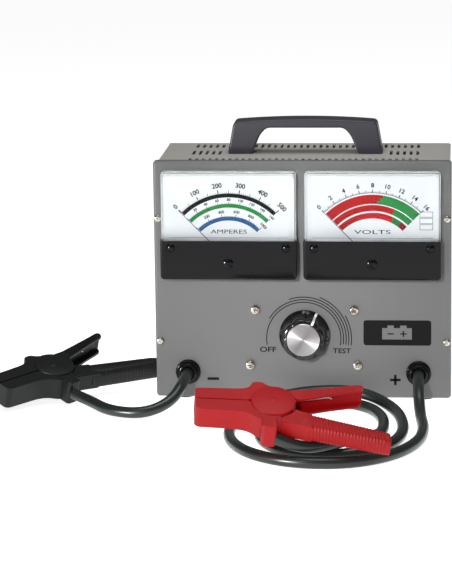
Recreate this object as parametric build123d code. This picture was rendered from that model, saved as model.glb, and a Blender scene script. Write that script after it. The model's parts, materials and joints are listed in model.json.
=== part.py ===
"""Carbon pile battery tester: sheet-steel case, two panel meters, a load knob that squeezes a
carbon pile, and two leads with insulated battery clamps.

Millimetres. +X is the operator's right, +Y runs from the front panel to the back, +Z is up.
The origin is on the table, under the centre of the tester without its leads.
"""
import os
from math import cos, hypot, radians, sin, tan

from build123d import *

# ---------------------------------------------------------------- driving dimensions
CASE_WIDTH = 280.0
CASE_HEIGHT = 227.0
CASE_DEPTH = 127.0
FOOT_HEIGHT = 5.0
PANEL_Y = -52.1              # front face of the panel
SHEET = 1.5                  # front panel steel
COVER_SHEET = 1.2            # cover, back and base steel
COVER_INSET = 2.0            # the panel's rim stands this far outside the cover
RIM_DEPTH = 9.0              # how far the panel's rim folds back

METER_X = (-68.4, 66.4)      # ammeter, voltmeter
METER_WIDTH = 127.0
METER_BOTTOM = 122.0
METER_TOP = 223.5
METER_SPLIT = 159.0          # height where the clear cover meets the black one
METER_DEPTH = 16.0           # how far a meter stands out of the panel
PIVOT_Z = 139.5              # needle axis
NEEDLE_LENGTH = 66.5
NEEDLE_REST = -45.0          # needle angle at zero, clockwise from upright
BARREL_RADIUS = 31.0
BARREL_DEPTH = 38.0
BARREL_Z = 153.0             # the barrel sits higher than the needle axis

KNOB_X = 1.9
KNOB_Z = 66.3
KNOB_RADIUS = 24.0
KNOB_HEIGHT = 25.0
KNOB_REST = 29.0             # pointer angle at rest, clockwise from upright
SHAFT_RADIUS = 4.0

DISC_RADIUS = 27.0
DISC_COUNT = 18
DISC_THICK = 3.0
DISC_FRONT = 30.0            # depth behind the panel of the first carbon disc's front face

GROMMET_X = 109.4
GROMMET_Z = 29.5
GROMMET_RADIUS = 11.8
CORD_RADIUS = 5.25

HANDLE_LENGTH = 148.0
HANDLE_RISE = 33.5
HANDLE_WIDTH = 27.0
HANDLE_Y = 70.0              # depth of the handle's middle behind the panel

# ---------------------------------------------------------------- places of the fasteners
PANEL_SCREWS = [(-44.8, 90.1), (48.7, 90.1), (-50.2, 36.6), (51.8, 36.6)]
SIDE_SCREWS = [(-135.6, 177.5), (135.6, 177.5), (-135.6, 59.4), (135.6, 59.4)]
BACK_SCREWS = [(-130.0, 216.0), (130.0, 216.0), (-130.0, 20.0), (130.0, 20.0)]
METER_SCREW_OFFSET = 54.2
METER_SCREW_Z = 152.6
ZERO_Z = 137.5
STUD_OFFSET = 18.0
YOKE_RADIUS = 14.3           # the movement's magnet yoke, its core and its moving coil
CORE_RADIUS = 7.6
COIL_HALF_WIDTH = 10.2
FIXING_OFFSET = (50.0, 36.0)     # meter fixing studs from the meter's middle
METER_MIDDLE_Z = (METER_BOTTOM + METER_TOP) / 2
FEET = [(-115.0, 25.0), (115.0, 25.0), (-115.0, 105.0), (115.0, 105.0)]
PANEL_SCREW_RADIUS = 2.5
SIDE_SCREW_RADIUS = 2.0

# ---------------------------------------------------------------- levels
TABLE = 0.0
CASE_BOTTOM = FOOT_HEIGHT
CASE_TOP = FOOT_HEIGHT + CASE_HEIGHT
COVER_TOP = CASE_TOP - COVER_INSET
COVER_HALF = CASE_WIDTH / 2 - COVER_INSET
BACK_Y = PANEL_Y + CASE_DEPTH

parts = {}


# ---------------------------------------------------------------- small helpers
def behind(depth):
    """Y of a point at this depth behind the panel's front face."""
    return PANEL_Y + depth


def block(x, y, z):
    """A box from its (low, high) limits on each axis."""
    size = (x[1] - x[0], y[1] - y[0], z[1] - z[0])
    middle = ((x[0] + x[1]) / 2, (y[0] + y[1]) / 2, (z[0] + z[1]) / 2)
    return Pos(*middle) * Box(*size)


def rod_y(x, z, radius, depth):
    """A cylinder along Y between two depths behind the panel."""
    length = depth[1] - depth[0]
    middle = behind((depth[0] + depth[1]) / 2)
    return Pos(x, middle, z) * Rot(90, 0, 0) * Cylinder(radius, length)


def rod_z(x, y, radius, z):
    """A cylinder along Z between two heights."""
    return Pos(x, y, (z[0] + z[1]) / 2) * Cylinder(radius, z[1] - z[0])


def hex_y(x, z, across, depth):
    """A hexagonal prism along Y, given its size across flats."""
    prism = extrude(RegularPolygon(across / 2, 6, major_radius=False), depth[1] - depth[0])
    return Pos(x, behind(depth[1]), z) * Rot(90, 0, 0) * prism


def pan_screw(x, z, head_radius, shank_radius, front, back, head_height):
    """A pan-head screw whose head seats at depth `front` and whose shank ends at `back`."""
    head = rod_y(x, z, head_radius, (front - head_height, front))
    head = fillet(head.edges().sort_by(Axis.Y)[:1], head_height * 0.45)
    shank = rod_y(x, z, shank_radius, (front, back))
    slot_depth = (front - head_height - 1, front - head_height * 0.35)
    arm = head_radius * 0.52
    width = head_radius * 0.12
    y = (behind(slot_depth[0]), behind(slot_depth[1]))
    cross = block((x - arm, x + arm), y, (z - width, z + width))
    cross += block((x - width, x + width), y, (z - arm, z + arm))
    return head + shank - cross


def keep(name, *solids):
    """Store a node made of one or more separate solids."""
    flat = []
    for solid in solids:
        flat.extend(solid.solids())
    parts[name] = flat[0] if len(flat) == 1 else Compound(children=flat)


# ---------------------------------------------------------------- case

def front_panel():
    half = CASE_WIDTH / 2
    y = (PANEL_Y, behind(RIM_DEPTH))
    tray = block((-half, half), y, (CASE_BOTTOM, CASE_TOP))
    tray = fillet(tray.edges().filter_by(Axis.Y), 3.0)
    tray = fillet(tray.faces().sort_by(Axis.Y)[0].edges(), 1.8)
    hollow = block((-half + SHEET, half - SHEET), (behind(SHEET), behind(RIM_DEPTH + 1)),
                   (CASE_BOTTOM + SHEET, CASE_TOP - SHEET))
    tray -= fillet(hollow.edges().filter_by(Axis.Y), 1.5)
    through = (-1, SHEET + 1)
    for x in METER_X:
        tray -= rod_y(x, BARREL_Z, BARREL_RADIUS + 0.5, through)
        for side in (-1, 1):
            for row in (-1, 1):
                tray -= rod_y(x + side * FIXING_OFFSET[0], METER_MIDDLE_Z + row * FIXING_OFFSET[1],
                              2.2, through)
    tray -= rod_y(KNOB_X, KNOB_Z, SHAFT_RADIUS + 1.0, through)
    for x, z in PANEL_SCREWS:
        tray -= rod_y(x, z, PANEL_SCREW_RADIUS + 0.2, through)
    for x, z in SIDE_SCREWS:
        tray -= rod_y(x, z, SIDE_SCREW_RADIUS + 0.2, through)
    for side in (-1, 1):
        tray -= rod_y(side * GROMMET_X, GROMMET_Z, GROMMET_RADIUS - 2.5, through)
    keep("front_panel", tray)


def top_slot(x, middle, length, width):
    """A vent slot through the cover's top."""
    depth = (behind(middle - length / 2), behind(middle + length / 2))
    return block((x - width / 2, x + width / 2), depth, (COVER_TOP - 5, COVER_TOP + 5))


def cover():
    front, back = behind(SHEET + 0.3), behind(CASE_DEPTH - COVER_SHEET)
    low = CASE_BOTTOM + SHEET + 0.3
    side = COVER_HALF
    shell = block((-side, side), (front, back), (low, COVER_TOP))
    shell = fillet(shell.edges().filter_by(Axis.Y).sort_by(Axis.Z)[-2:], 2.0)
    wall = COVER_SHEET
    shell -= block((-side + wall, side - wall), (front - 1, back + 1), (low - 1, COVER_TOP - wall))
    for end in (-1, 1):
        flange_x = sorted((end * (side - wall - 10), end * (side - wall / 2)))
        shell += block(flange_x, (front, front + wall), (low, COVER_TOP - 8))
        shell += block(flange_x, (back - wall, back), (low, COVER_TOP - 2))
    pitch = 6.3
    width = 3.0
    first = -pitch * 17
    for number in range(35):
        x = first + number * pitch
        shell -= top_slot(x, 27.0, 13.0, width)
        shell -= top_slot(x, 107.0, 22.0, width)
        if number < 5 or number > 29:
            shell -= top_slot(x, 66.0, 26.0, width)
    for end in (-1, 1):
        for number in range(12):
            z = 60.0 + number * 9.0
            slot_x = sorted((end * (side - 5), end * (side + 5)))
            shell -= block(slot_x, (behind(45), behind(95)), (z, z + 3.0))
    for x, z in SIDE_SCREWS:
        shell -= rod_y(x, z, SIDE_SCREW_RADIUS + 0.05, (-2, 8))
    for x, z in BACK_SCREWS:
        shell -= rod_y(x, z, SIDE_SCREW_RADIUS + 0.05, (CASE_DEPTH - 8, CASE_DEPTH + 2))
    for end in (-1, 1):
        shell -= rod_z(end * HANDLE_SCREW_X, behind(HANDLE_Y), 2.7, (COVER_TOP - 4, COVER_TOP + 2))
    keep("cover", shell)


def back_panel():
    plate = block((-COVER_HALF, COVER_HALF), (BACK_Y - COVER_SHEET, BACK_Y),
                  (CASE_BOTTOM + SHEET + 0.3, COVER_TOP - 0.2))
    plate = fillet(plate.edges().filter_by(Axis.Y), 2.0)
    for row in range(4):
        for number in range(28):
            x = -6.3 * 13.5 + number * 6.3
            z = 62.0 + row * 34.0
            plate -= block((x - 1.5, x + 1.5), (BACK_Y - 5, BACK_Y + 5), (z, z + 22.0))
    for x, z in BACK_SCREWS:
        plate -= rod_y(x, z, SIDE_SCREW_RADIUS + 0.2, (CASE_DEPTH - 4, CASE_DEPTH + 2))
    keep("back_panel", plate)


def base_plate():
    inside = COVER_HALF - COVER_SHEET - 0.2
    low = CASE_BOTTOM + SHEET + 0.3
    front, back = behind(SHEET + 2.0), behind(CASE_DEPTH - COVER_SHEET * 2 - 0.3)
    plate = block((-inside, inside), (front, back), (low, low + COVER_SHEET))
    plate -= block((-inside - 1, -inside + 11), (front - 1, front + 3), (low - 1, low + 5))
    plate -= block((inside - 11, inside + 1), (front - 1, front + 3), (low - 1, low + 5))
    for number in range(24):
        x = -6.3 * 11.5 + number * 6.3
        plate -= block((x - 1.5, x + 1.5), (behind(45), behind(80)), (low - 1, low + 5))
    for x, depth in FEET:
        plate -= rod_z(x, behind(depth), 2.1, (low - 1, low + 5))
    keep("base_plate", plate)


def feet():
    low = CASE_BOTTOM + SHEET + 0.3
    pads = []
    screws = []
    for x, depth in FEET:
        y = behind(depth)
        pad = Pos(x, y, TABLE) * extrude(Circle(9.0), low, taper=6)
        pad -= rod_z(x, y, 2.05, (TABLE - 1, low + 1))
        pad -= rod_z(x, y, 4.2, (TABLE - 1, 2.6))
        pads.append(pad)
        screw = rod_z(x, y, 3.8, (0.6, 2.6)) + rod_z(x, y, 2.0, (2.6, low + 6))
        screw -= block((x - 3, x + 3), (y - 0.5, y + 0.5), (0.0, 1.4))
        nut = Pos(x, y, low + COVER_SHEET) * extrude(RegularPolygon(3.5, 6, major_radius=False), 3.2)
        screws.append(screw + nut)
    keep("feet", *pads)
    keep("foot_screws", *screws)


HANDLE_SCREW_X = 61.5


def handle():
    base = COVER_TOP
    half = HANDLE_LENGTH / 2
    top = base + HANDLE_RISE
    with BuildSketch(Plane.XZ) as outline:
        with BuildLine():
            Polyline((-half, base), (-half + 5.4, top - 3.0))
            ThreePointArc((-half + 5.4, top - 3.0), (0, top), (half - 5.4, top - 3.0))
            Polyline((half - 5.4, top - 3.0), (half, base), (51.0, base), (42.5, base + 21.0))
            ThreePointArc((42.5, base + 21.0), (40.4, base + 23.6), (36.5, base + 24.8))
            Line((36.5, base + 24.8), (-36.5, base + 24.8))
            ThreePointArc((-36.5, base + 24.8), (-40.4, base + 23.6), (-42.5, base + 21.0))
            Polyline((-42.5, base + 21.0), (-51.0, base), (-half, base))
        make_face()
    width = HANDLE_WIDTH
    body = extrude(outline.sketch, width / 2, both=True)
    body = Pos(0, behind(HANDLE_Y), 0) * body
    corners = [e for e in body.edges().filter_by(Axis.Y) if e.center().Z > top - 5]
    body = fillet(corners, 4.0)
    rims = [e for e in body.edges() if e.center().Z > base + 1 and abs(e.tangent_at(0.5).Y) < 0.1]
    body = fillet(rims, 2.0)
    screws = []
    for end in (-1, 1):
        x = end * HANDLE_SCREW_X
        y = behind(HANDLE_Y)
        body -= rod_z(x, y, 2.5, (base - 1, base + 14))
        screw = rod_z(x, y, 2.5, (base - COVER_SHEET - 1.2, base + 13))
        screw += rod_z(x, y, 4.6, (base - COVER_SHEET - 4.0, base - COVER_SHEET - 1.2))
        screw += rod_z(x, y, 6.0, (base - COVER_SHEET - 1.2, base - COVER_SHEET))
        screws.append(screw)
    keep("handle", body)
    keep("handle_screws", *screws)


def case_screws():
    panel = []
    for x, z in PANEL_SCREWS:
        screw = pan_screw(x, z, 4.75, PANEL_SCREW_RADIUS, 0.0, 14.0, 3.6)
        panel.append(screw + hex_y(x, z, 8.0, (FRAME_FRONT + FRAME_PLATE, FRAME_FRONT + FRAME_PLATE + 4)))
    keep("panel_screws", *panel)
    side = [pan_screw(x, z, 3.5, SIDE_SCREW_RADIUS, 0.0, 7.0, 2.8) for x, z in SIDE_SCREWS]
    keep("side_screws", *side)
    back = []
    for x, z in BACK_SCREWS:
        screw = pan_screw(x, -z, 3.8, SIDE_SCREW_RADIUS, 0.0, 7.0, 2.8)
        turned = Rot(180, 0, 0) * Pos(0, -PANEL_Y, 0) * screw
        back.append(Pos(0, BACK_Y, 0) * turned)
    keep("back_screws", *back)


# ---------------------------------------------------------------- meters
def meter_outline(inset, low, high, x):
    return (x - METER_WIDTH / 2 + inset, x + METER_WIDTH / 2 - inset), (low, high)


def meter_base(x):
    """Moulded body: a shallow frame on the panel and a closed barrel behind it."""
    flange_x, flange_z = meter_outline(1.2, METER_BOTTOM + 2.2, METER_TOP - 1.2, x)
    body = block(flange_x, (behind(-4.5), PANEL_Y), flange_z)
    body = fillet(body.edges().filter_by(Axis.Y), 3.0)
    body += rod_y(x, BARREL_Z, BARREL_RADIUS, (-0.5, BARREL_DEPTH))
    body -= rod_y(x, BARREL_Z, BARREL_RADIUS - 3.0, (-6, BARREL_DEPTH - 3.0))
    for side in (-1, 1):
        body -= rod_y(x + side * STUD_OFFSET, BARREL_Z, 2.5, (BARREL_DEPTH - 4, BARREL_DEPTH + 1))
        body -= rod_y(x + side * METER_SCREW_OFFSET, METER_SCREW_Z, 1.5, (-6, -1))
    return body


def dial_plate(x):
    plate = block((x - 58, x + 58), (behind(-5.4), behind(-4.6)), (METER_SPLIT - 2, METER_TOP - 4))
    return fillet(plate.edges().filter_by(Axis.Y), 2.0)


def clear_cover(x):
    """Transparent window box with a bevelled front, open at the back and below."""
    outer_x, outer_z = meter_outline(0.0, METER_SPLIT + 0.15, METER_TOP, x)
    outer = block(outer_x, (behind(-METER_DEPTH), behind(-0.4)), outer_z)
    front = [e for e in outer.faces().sort_by(Axis.Y)[0].edges() if e.center().Z > METER_SPLIT + 1]
    outer = chamfer(front, 4.0)
    inner_x, inner_z = meter_outline(2.0, METER_SPLIT - 2, METER_TOP - 2.0, x)
    inner = block(inner_x, (behind(-METER_DEPTH + 2.0), behind(1)), inner_z)
    front = [e for e in inner.faces().sort_by(Axis.Y)[0].edges() if e.center().Z > METER_SPLIT - 1]
    inner = chamfer(front, 3.0)
    lip_x, lip_z = meter_outline(1.0, METER_SPLIT - 1, METER_TOP - 1.0, x)
    return outer - inner - block(lip_x, (behind(-4.7), behind(1)), lip_z)


def lower_cover(x):
    """Black cover over the movement, carrying the zero adjuster and two screws."""
    outer_x, outer_z = meter_outline(-0.8, METER_BOTTOM, METER_SPLIT, x)
    outer = block(outer_x, (behind(-METER_DEPTH - 1.0), behind(-0.4)), outer_z)
    outer = fillet(outer.edges().filter_by(Axis.Y).sort_by(Axis.Z)[:2], 4.0)
    outer = fillet(outer.faces().sort_by(Axis.Y)[0].edges(), 1.8)
    inner_x, inner_z = meter_outline(1.0, METER_BOTTOM + 2.0, METER_SPLIT + 1, x)
    outer -= block(inner_x, (behind(-METER_DEPTH + 1.0), behind(1)), inner_z)
    outer -= block((x - 61.5, x + 61.5), (behind(-12.6), behind(1)), (METER_SPLIT - 3, METER_SPLIT + 1))
    for side in (-1, 1):
        post_x = x + side * METER_SCREW_OFFSET
        outer += rod_y(post_x, METER_SCREW_Z, 4.0, (-METER_DEPTH + 0.5, -4.6))
        outer -= rod_y(post_x, METER_SCREW_Z, 1.7, (-METER_DEPTH - 2, -4))
        outer -= rod_y(post_x, METER_SCREW_Z, 4.2, (-METER_DEPTH - 2, -METER_DEPTH + 0.6))
    outer -= rod_y(x, ZERO_Z, 5.1, (-METER_DEPTH - 2, -METER_DEPTH + 2))
    return outer


def cover_screws(x):
    screws = []
    for side in (-1, 1):
        at = x + side * METER_SCREW_OFFSET
        screws.append(pan_screw(at, METER_SCREW_Z, 3.9, 1.5, -METER_DEPTH + 0.6, -2.0, 2.0))
    return screws


def zero_screw(x):
    """Slotted plastic adjuster with a crank pin inside."""
    face = -METER_DEPTH - 1.2
    screw = rod_y(x, ZERO_Z, 5.0, (face, -METER_DEPTH + 1.4))
    screw += rod_y(x, ZERO_Z, 6.0, (-METER_DEPTH + 1.4, -METER_DEPTH + 2.6))
    screw += rod_y(x, ZERO_Z + 3.0, 0.6, (-METER_DEPTH + 2.6, -METER_DEPTH + 4.0))
    screw -= block((x - 4.2, x + 4.2), (behind(face - 1), behind(face + 1.0)), (ZERO_Z - 0.6, ZERO_Z + 0.6))
    return screw


def needle(x):
    """Pointer, its balance tail, staff and moving coil, at the zero mark."""
    with BuildSketch(Plane.XZ) as outline:
        with BuildLine():
            Polyline((-0.9, 0), (-0.25, NEEDLE_LENGTH), (0.25, NEEDLE_LENGTH), (0.9, 0), (1.4, -10),
                     (-1.4, -10), (-0.9, 0))
        make_face()
    pointer = extrude(outline.sketch, 0.4, both=True)
    pointer = Pos(0, behind(-8.8), 0) * pointer
    hub = rod_y(0, 0, 2.6, (-10.0, -7.6))
    staff = rod_y(0, 0, 0.8, (-11.5, 6.0))
    coil = block((-COIL_HALF_WIDTH, COIL_HALF_WIDTH), (behind(5.6), behind(26.4)), (-3, 3))
    inside = COIL_HALF_WIDTH - 1.7
    coil -= block((-inside, inside), (behind(7.6), behind(24.8)), (-4, 4))
    whole = Rot(0, NEEDLE_REST, 0) * (pointer + hub + staff + coil)
    return Pos(x, 0, PIVOT_Z) * whole


def magnet(x):
    """Magnet yoke with its soft-iron core held on a web."""
    ring = rod_y(x, PIVOT_Z, YOKE_RADIUS, (9.0, 33.0)) - rod_y(x, PIVOT_Z, YOKE_RADIUS - 3.0, (8, 27))
    core = rod_y(x, PIVOT_Z, CORE_RADIUS, (9.0, 24.0))
    web = block((x - 2, x + 2), (behind(12), behind(23)), (PIVOT_Z - 12, PIVOT_Z + 12))
    seat = rod_y(x, PIVOT_Z, YOKE_RADIUS, (33.0, BARREL_DEPTH - 3.0))
    return ring + core + web + seat


def terminal_studs(x):
    studs = []
    for side in (-1, 1):
        at = x + side * STUD_OFFSET
        stud = rod_y(at, BARREL_Z, 2.5, (BARREL_DEPTH - 3.0, 58.0))
        for seat in (BARREL_DEPTH, 47.0):
            stud += hex_y(at, BARREL_Z, 8.0, (seat, seat + 4.0))
        studs.append(stud)
    return studs


def fixing_studs(x):
    studs = []
    for side in (-1, 1):
        for row in (-1, 1):
            at = x + side * FIXING_OFFSET[0]
            z = METER_MIDDLE_Z + row * FIXING_OFFSET[1]
            stud = rod_y(at, z, 2.0, (0.0, 12.0)) + hex_y(at, z, 7.0, (SHEET, SHEET + 3.2))
            studs.append(stud)
    return studs


def meters():
    for name, x in zip(("ammeter", "voltmeter"), METER_X):
        keep(f"{name}_base", meter_base(x))
        keep(f"{name}_dial", dial_plate(x))
        keep(f"{name}_window", clear_cover(x))
        keep(f"{name}_lower_cover", lower_cover(x))
        keep(f"{name}_needle", needle(x))
        keep(f"{name}_zero_screw", zero_screw(x))
    both = METER_X
    keep("meter_cover_screws", *[s for x in both for s in cover_screws(x)])
    keep("meter_magnets", *[magnet(x) for x in both])
    keep("meter_terminals", *[s for x in both for s in terminal_studs(x)])
    keep("meter_fixings", *[s for x in both for s in fixing_studs(x)])


# ---------------------------------------------------------------- knob and carbon pile
FRAME_FRONT = 6.0
FRAME_PLATE = 3.0
FRAME_ARM_X = 36.0
PLATE_THICK = 5.0
PLATE_GAP = 0.6              # open gap to the first disc at rest
PLATE_FRONT = DISC_FRONT - PLATE_GAP - PLATE_THICK
PILE_BACK = DISC_FRONT + DISC_COUNT * DISC_THICK
CONTACT_THICK = 5.0
INSULATOR_THICK = 4.0
FRAME_BACK = PILE_BACK + CONTACT_THICK + INSULATOR_THICK


def turned(shape):
    """Turn a shape made about the Y axis to the knob's rest angle and set it on the knob axis."""
    return Pos(KNOB_X, 0, KNOB_Z) * Rot(0, KNOB_REST, 0) * shape


def knob():
    """Skirted knob: thin skirt, sloping shoulder and an eight-lobed grip."""
    profile = [(0, -1.5), (KNOB_RADIUS, -1.5), (KNOB_RADIUS, -4.0), (21.5, -6.0), (20.2, -10.0),
               (19.2, -KNOB_HEIGHT + 1.5), (17.7, -KNOB_HEIGHT), (0, -KNOB_HEIGHT), (0, -1.5)]
    with BuildSketch(Plane.XY) as section:
        with BuildLine():
            Polyline(*[(r, behind(depth)) for r, depth in profile])
        make_face()
    body = revolve(section.sketch, Axis.Y, 360)
    for number in range(8):
        angle = radians(22.5 + 45 * number)
        x, z = 25.6 * sin(angle), 25.6 * cos(angle)
        body -= rod_y(x, z, 7.0, (-KNOB_HEIGHT - 1, -6.2))
    body -= rod_y(0, 0, CAP_RADIUS + 0.1, (-KNOB_HEIGHT - 1, -KNOB_HEIGHT + 1.2))
    body -= rod_y(0, 0, SHAFT_RADIUS, (-16, 0))
    grub_hole = Pos(0, behind(-9.0), 0) * Rot(0, GRUB_ANGLE, 0) * Pos(0, 0, 12) * Cylinder(2.0, 24)
    body -= grub_hole
    keep("knob", turned(body))
    cap = rod_y(0, 0, CAP_RADIUS, (-KNOB_HEIGHT - 0.6, -KNOB_HEIGHT + 1.2))
    cap = chamfer(cap.faces().sort_by(Axis.Y)[0].edges(), 0.4)
    keep("knob_cap", turned(cap))
    grub = Pos(0, behind(-9.0), 0) * Rot(0, GRUB_ANGLE, 0) * Pos(0, 0, 10.5) * Cylinder(2.0, 13.0)
    keep("knob_grub_screw", turned(grub))


CAP_RADIUS = 15.4
GRUB_ANGLE = 157.5


def load_screw():
    """Shaft with a thrust collar each side of the frame plate, and the pressure thread."""
    shaft = rod_y(0, 0, SHAFT_RADIUS, (-16.0, DISC_FRONT - 1.6))
    shaft += rod_y(0, 0, 7.0, (FRAME_FRONT - 3.0, FRAME_FRONT - 0.15))
    shaft += rod_y(0, 0, 7.0, (FRAME_FRONT + FRAME_PLATE + 0.15, FRAME_FRONT + FRAME_PLATE + 2.6))
    keep("load_screw", turned(shaft))


def pile_frame():
    plate_x = (-57.0, 59.0)
    frame = block(plate_x, (behind(FRAME_FRONT), behind(FRAME_FRONT + FRAME_PLATE)), (30.0, 97.0))
    for side in (-1, 1):
        arm = sorted((KNOB_X + side * FRAME_ARM_X, KNOB_X + side * (FRAME_ARM_X - 3)))
        frame += block(arm, (behind(FRAME_FRONT), behind(FRAME_BACK + 4)), (KNOB_Z - 14, KNOB_Z + 14))
    frame += block((KNOB_X - FRAME_ARM_X, KNOB_X + FRAME_ARM_X), (behind(FRAME_BACK), behind(FRAME_BACK + 4)),
                   (KNOB_Z - 14, KNOB_Z + 14))
    frame -= rod_y(KNOB_X, KNOB_Z, SHAFT_RADIUS + 0.06, (FRAME_FRONT - 1, FRAME_FRONT + FRAME_PLATE + 1))
    for x, z in PANEL_SCREWS:
        frame -= rod_y(x, z, PANEL_SCREW_RADIUS + 0.2, (FRAME_FRONT - 1, FRAME_FRONT + FRAME_PLATE + 1))
    keep("pile_frame", frame)
    spacers = []
    for x, z in PANEL_SCREWS:
        sleeve = rod_y(x, z, 5.0, (SHEET, FRAME_FRONT)) - rod_y(x, z, PANEL_SCREW_RADIUS + 0.2, (0, 8))
        spacers.append(sleeve)
    keep("frame_spacers", *spacers)


def carbon_pile():
    plate = rod_y(KNOB_X, KNOB_Z, DISC_RADIUS, (PLATE_FRONT, PLATE_FRONT + PLATE_THICK))
    plate += rod_y(KNOB_X, KNOB_Z, 9.0, (PLATE_FRONT - 7.0, PLATE_FRONT))
    for side in (-1, 1):
        ear = sorted((KNOB_X + side * 20, KNOB_X + side * (FRAME_ARM_X - 3.3)))
        plate += block(ear, (behind(PLATE_FRONT), behind(PLATE_FRONT + PLATE_THICK)), (KNOB_Z - 6, KNOB_Z + 6))
    plate -= rod_y(KNOB_X, KNOB_Z, SHAFT_RADIUS + 0.06, (0, DISC_FRONT))
    keep("pressure_plate", plate)
    discs = []
    gap = 0.02
    for number in range(DISC_COUNT):
        front = DISC_FRONT + number * DISC_THICK
        discs.append(rod_y(KNOB_X, KNOB_Z, DISC_RADIUS, (front + gap, front + DISC_THICK - gap)))
    keep("carbon_discs", *discs)
    contact = rod_y(KNOB_X, KNOB_Z, DISC_RADIUS, (PILE_BACK, PILE_BACK + CONTACT_THICK))
    contact += block((KNOB_X - 8, KNOB_X + 8), (behind(PILE_BACK), behind(PILE_BACK + CONTACT_THICK)),
                     (KNOB_Z - 42, KNOB_Z - 20))
    keep("contact_plate", contact)
    washer = rod_y(KNOB_X, KNOB_Z, 20.0, (PILE_BACK + CONTACT_THICK, FRAME_BACK))
    keep("pile_insulator", washer)


# shunt on the base plate; bus bars from the rear contact plate and from the shunt
SHUNT_Z = CASE_BOTTOM + SHEET + 0.3 + COVER_SHEET
BUS_THICK = 3.0


def bus_and_shunt():
    z = (SHUNT_Z + 4.0, SHUNT_Z + 12.0)
    insulator = block((-98.0, -36.0), (behind(34), behind(50)), (SHUNT_Z, z[0]))
    keep("shunt_insulator", insulator)
    shunt = block((-96.0, -78.0), (behind(35), behind(49)), z)
    shunt += block((-56.0, -38.0), (behind(35), behind(49)), z)
    for level in (1.5, 5.5):
        shunt += block((-79.0, -55.0), (behind(36), behind(48)), (z[0] + level, z[0] + level + 1.0))
    keep("shunt", shunt)
    back = behind(PILE_BACK + CONTACT_THICK)
    bar = block((KNOB_X - 8, 100.0), (back, back + BUS_THICK), (KNOB_Z - 42, KNOB_Z - 28))
    bar += block((86.0, 100.0), (behind(44), back + BUS_THICK), (KNOB_Z - 42, KNOB_Z - 39))
    keep("positive_bus_bar", bar)


def inner_lead(side, lug_at):
    """Lead inside the case: from the grommet straight back, then down to its lug."""
    x = side * GROMMET_X
    route = FilletPolyline((x, behind(3.5), GROMMET_Z), (x, behind(30), GROMMET_Z),
                           (lug_at[0], behind(lug_at[1]), lug_at[2]), radius=10)
    start = Plane(route @ 0, z_dir=route % 0)
    return sweep(start * Circle(CORD_RADIUS - 0.8), route)


def leads_inside():
    keep("inner_lead_black", inner_lead(-1, (-97.5, 42.0, SHUNT_Z + 8.0 + 9.0)))
    keep("inner_lead_red", inner_lead(1, (94.0, 47.0, KNOB_Z - 39 + 6.5)))
    lugs = []
    for x, depth, z in ((-87.0, 42.0, SHUNT_Z + 12.0), (93.0, 58.0, KNOB_Z - 39.0)):
        tongue = block((x - 8, x + 8), (behind(depth - 7), behind(depth + 7)), (z, z + 1.6))
        stud = rod_z(x, behind(depth), 3.0, (z, z + 9)) + Pos(x, behind(depth), z + 1.6) * extrude(
            RegularPolygon(5.0, 6, major_radius=False), 4.5)
        lugs.append(tongue + stud)
    keep("lead_lugs", *lugs)


def grommets():
    rings = []
    nuts = []
    for side in (-1, 1):
        x = side * GROMMET_X
        ring = rod_y(x, GROMMET_Z, GROMMET_RADIUS, (-3.5, 0.0))
        ring = fillet(ring.faces().sort_by(Axis.Y)[0].edges(), 1.6)
        neck = rod_y(x, GROMMET_Z, GROMMET_RADIUS - 2.2, (-8.0, -3.0))
        neck = fillet(neck.faces().sort_by(Axis.Y)[0].edges(), 2.0)
        ring += neck
        ring += rod_y(x, GROMMET_Z, GROMMET_RADIUS - 2.6, (-1.0, 12.0))
        ring -= rod_y(x, GROMMET_Z, CORD_RADIUS, (-10.0, 3.5))
        ring -= rod_y(x, GROMMET_Z, CORD_RADIUS - 0.8, (3.0, 14.0))
        rings.append(ring)
        nut = hex_y(x, GROMMET_Z, 25.0, (SHEET, SHEET + 5.0))
        nut -= rod_y(x, GROMMET_Z, GROMMET_RADIUS - 2.6, (0, 10))
        nuts.append(nut)
    keep("grommets", *rings)
    keep("grommet_nuts", *nuts)


# ---------------------------------------------------------------- battery clamps
# Local clamp axes: X from the jaws' nose to the handles, Y from lever B to lever A, Z along the pin.
CLAMP_PLACES = {
    # name: (pivot, yaw, roll, pitch)
    "red": ((-14.0, PANEL_Y - 214.0, 46.0), 6.0, 25.5, 4.5),
    "black": ((-240.5, PANEL_Y + 6.0, 24.0), 50.0, 18.0, -5.0),
}
CLAMP_HALF = 10.5            # half thickness of the jaws
NOSE = -68.0
DISC = 19.5                  # ear radius of lever A
TONGUE_RADIUS = 20.15        # tongue radius of lever B, inside a fork cut to DISC + 1
TONGUE_HALF = 7.0
GAP = 0.35                   # running clearance between the two levers
PIN_RADIUS = 3.0
COIL_HALF = 4.2


def flat(points, low, high):
    """A straight-sided solid from a closed outline, between two heights on local Z."""
    with BuildSketch(Plane.XY.offset(low)) as outline:
        with BuildLine():
            Polyline(*points, close=True)
        make_face()
    return extrude(outline.sketch, high - low)


def pin_rod(radius, half):
    return Cylinder(radius, 2 * half)


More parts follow.
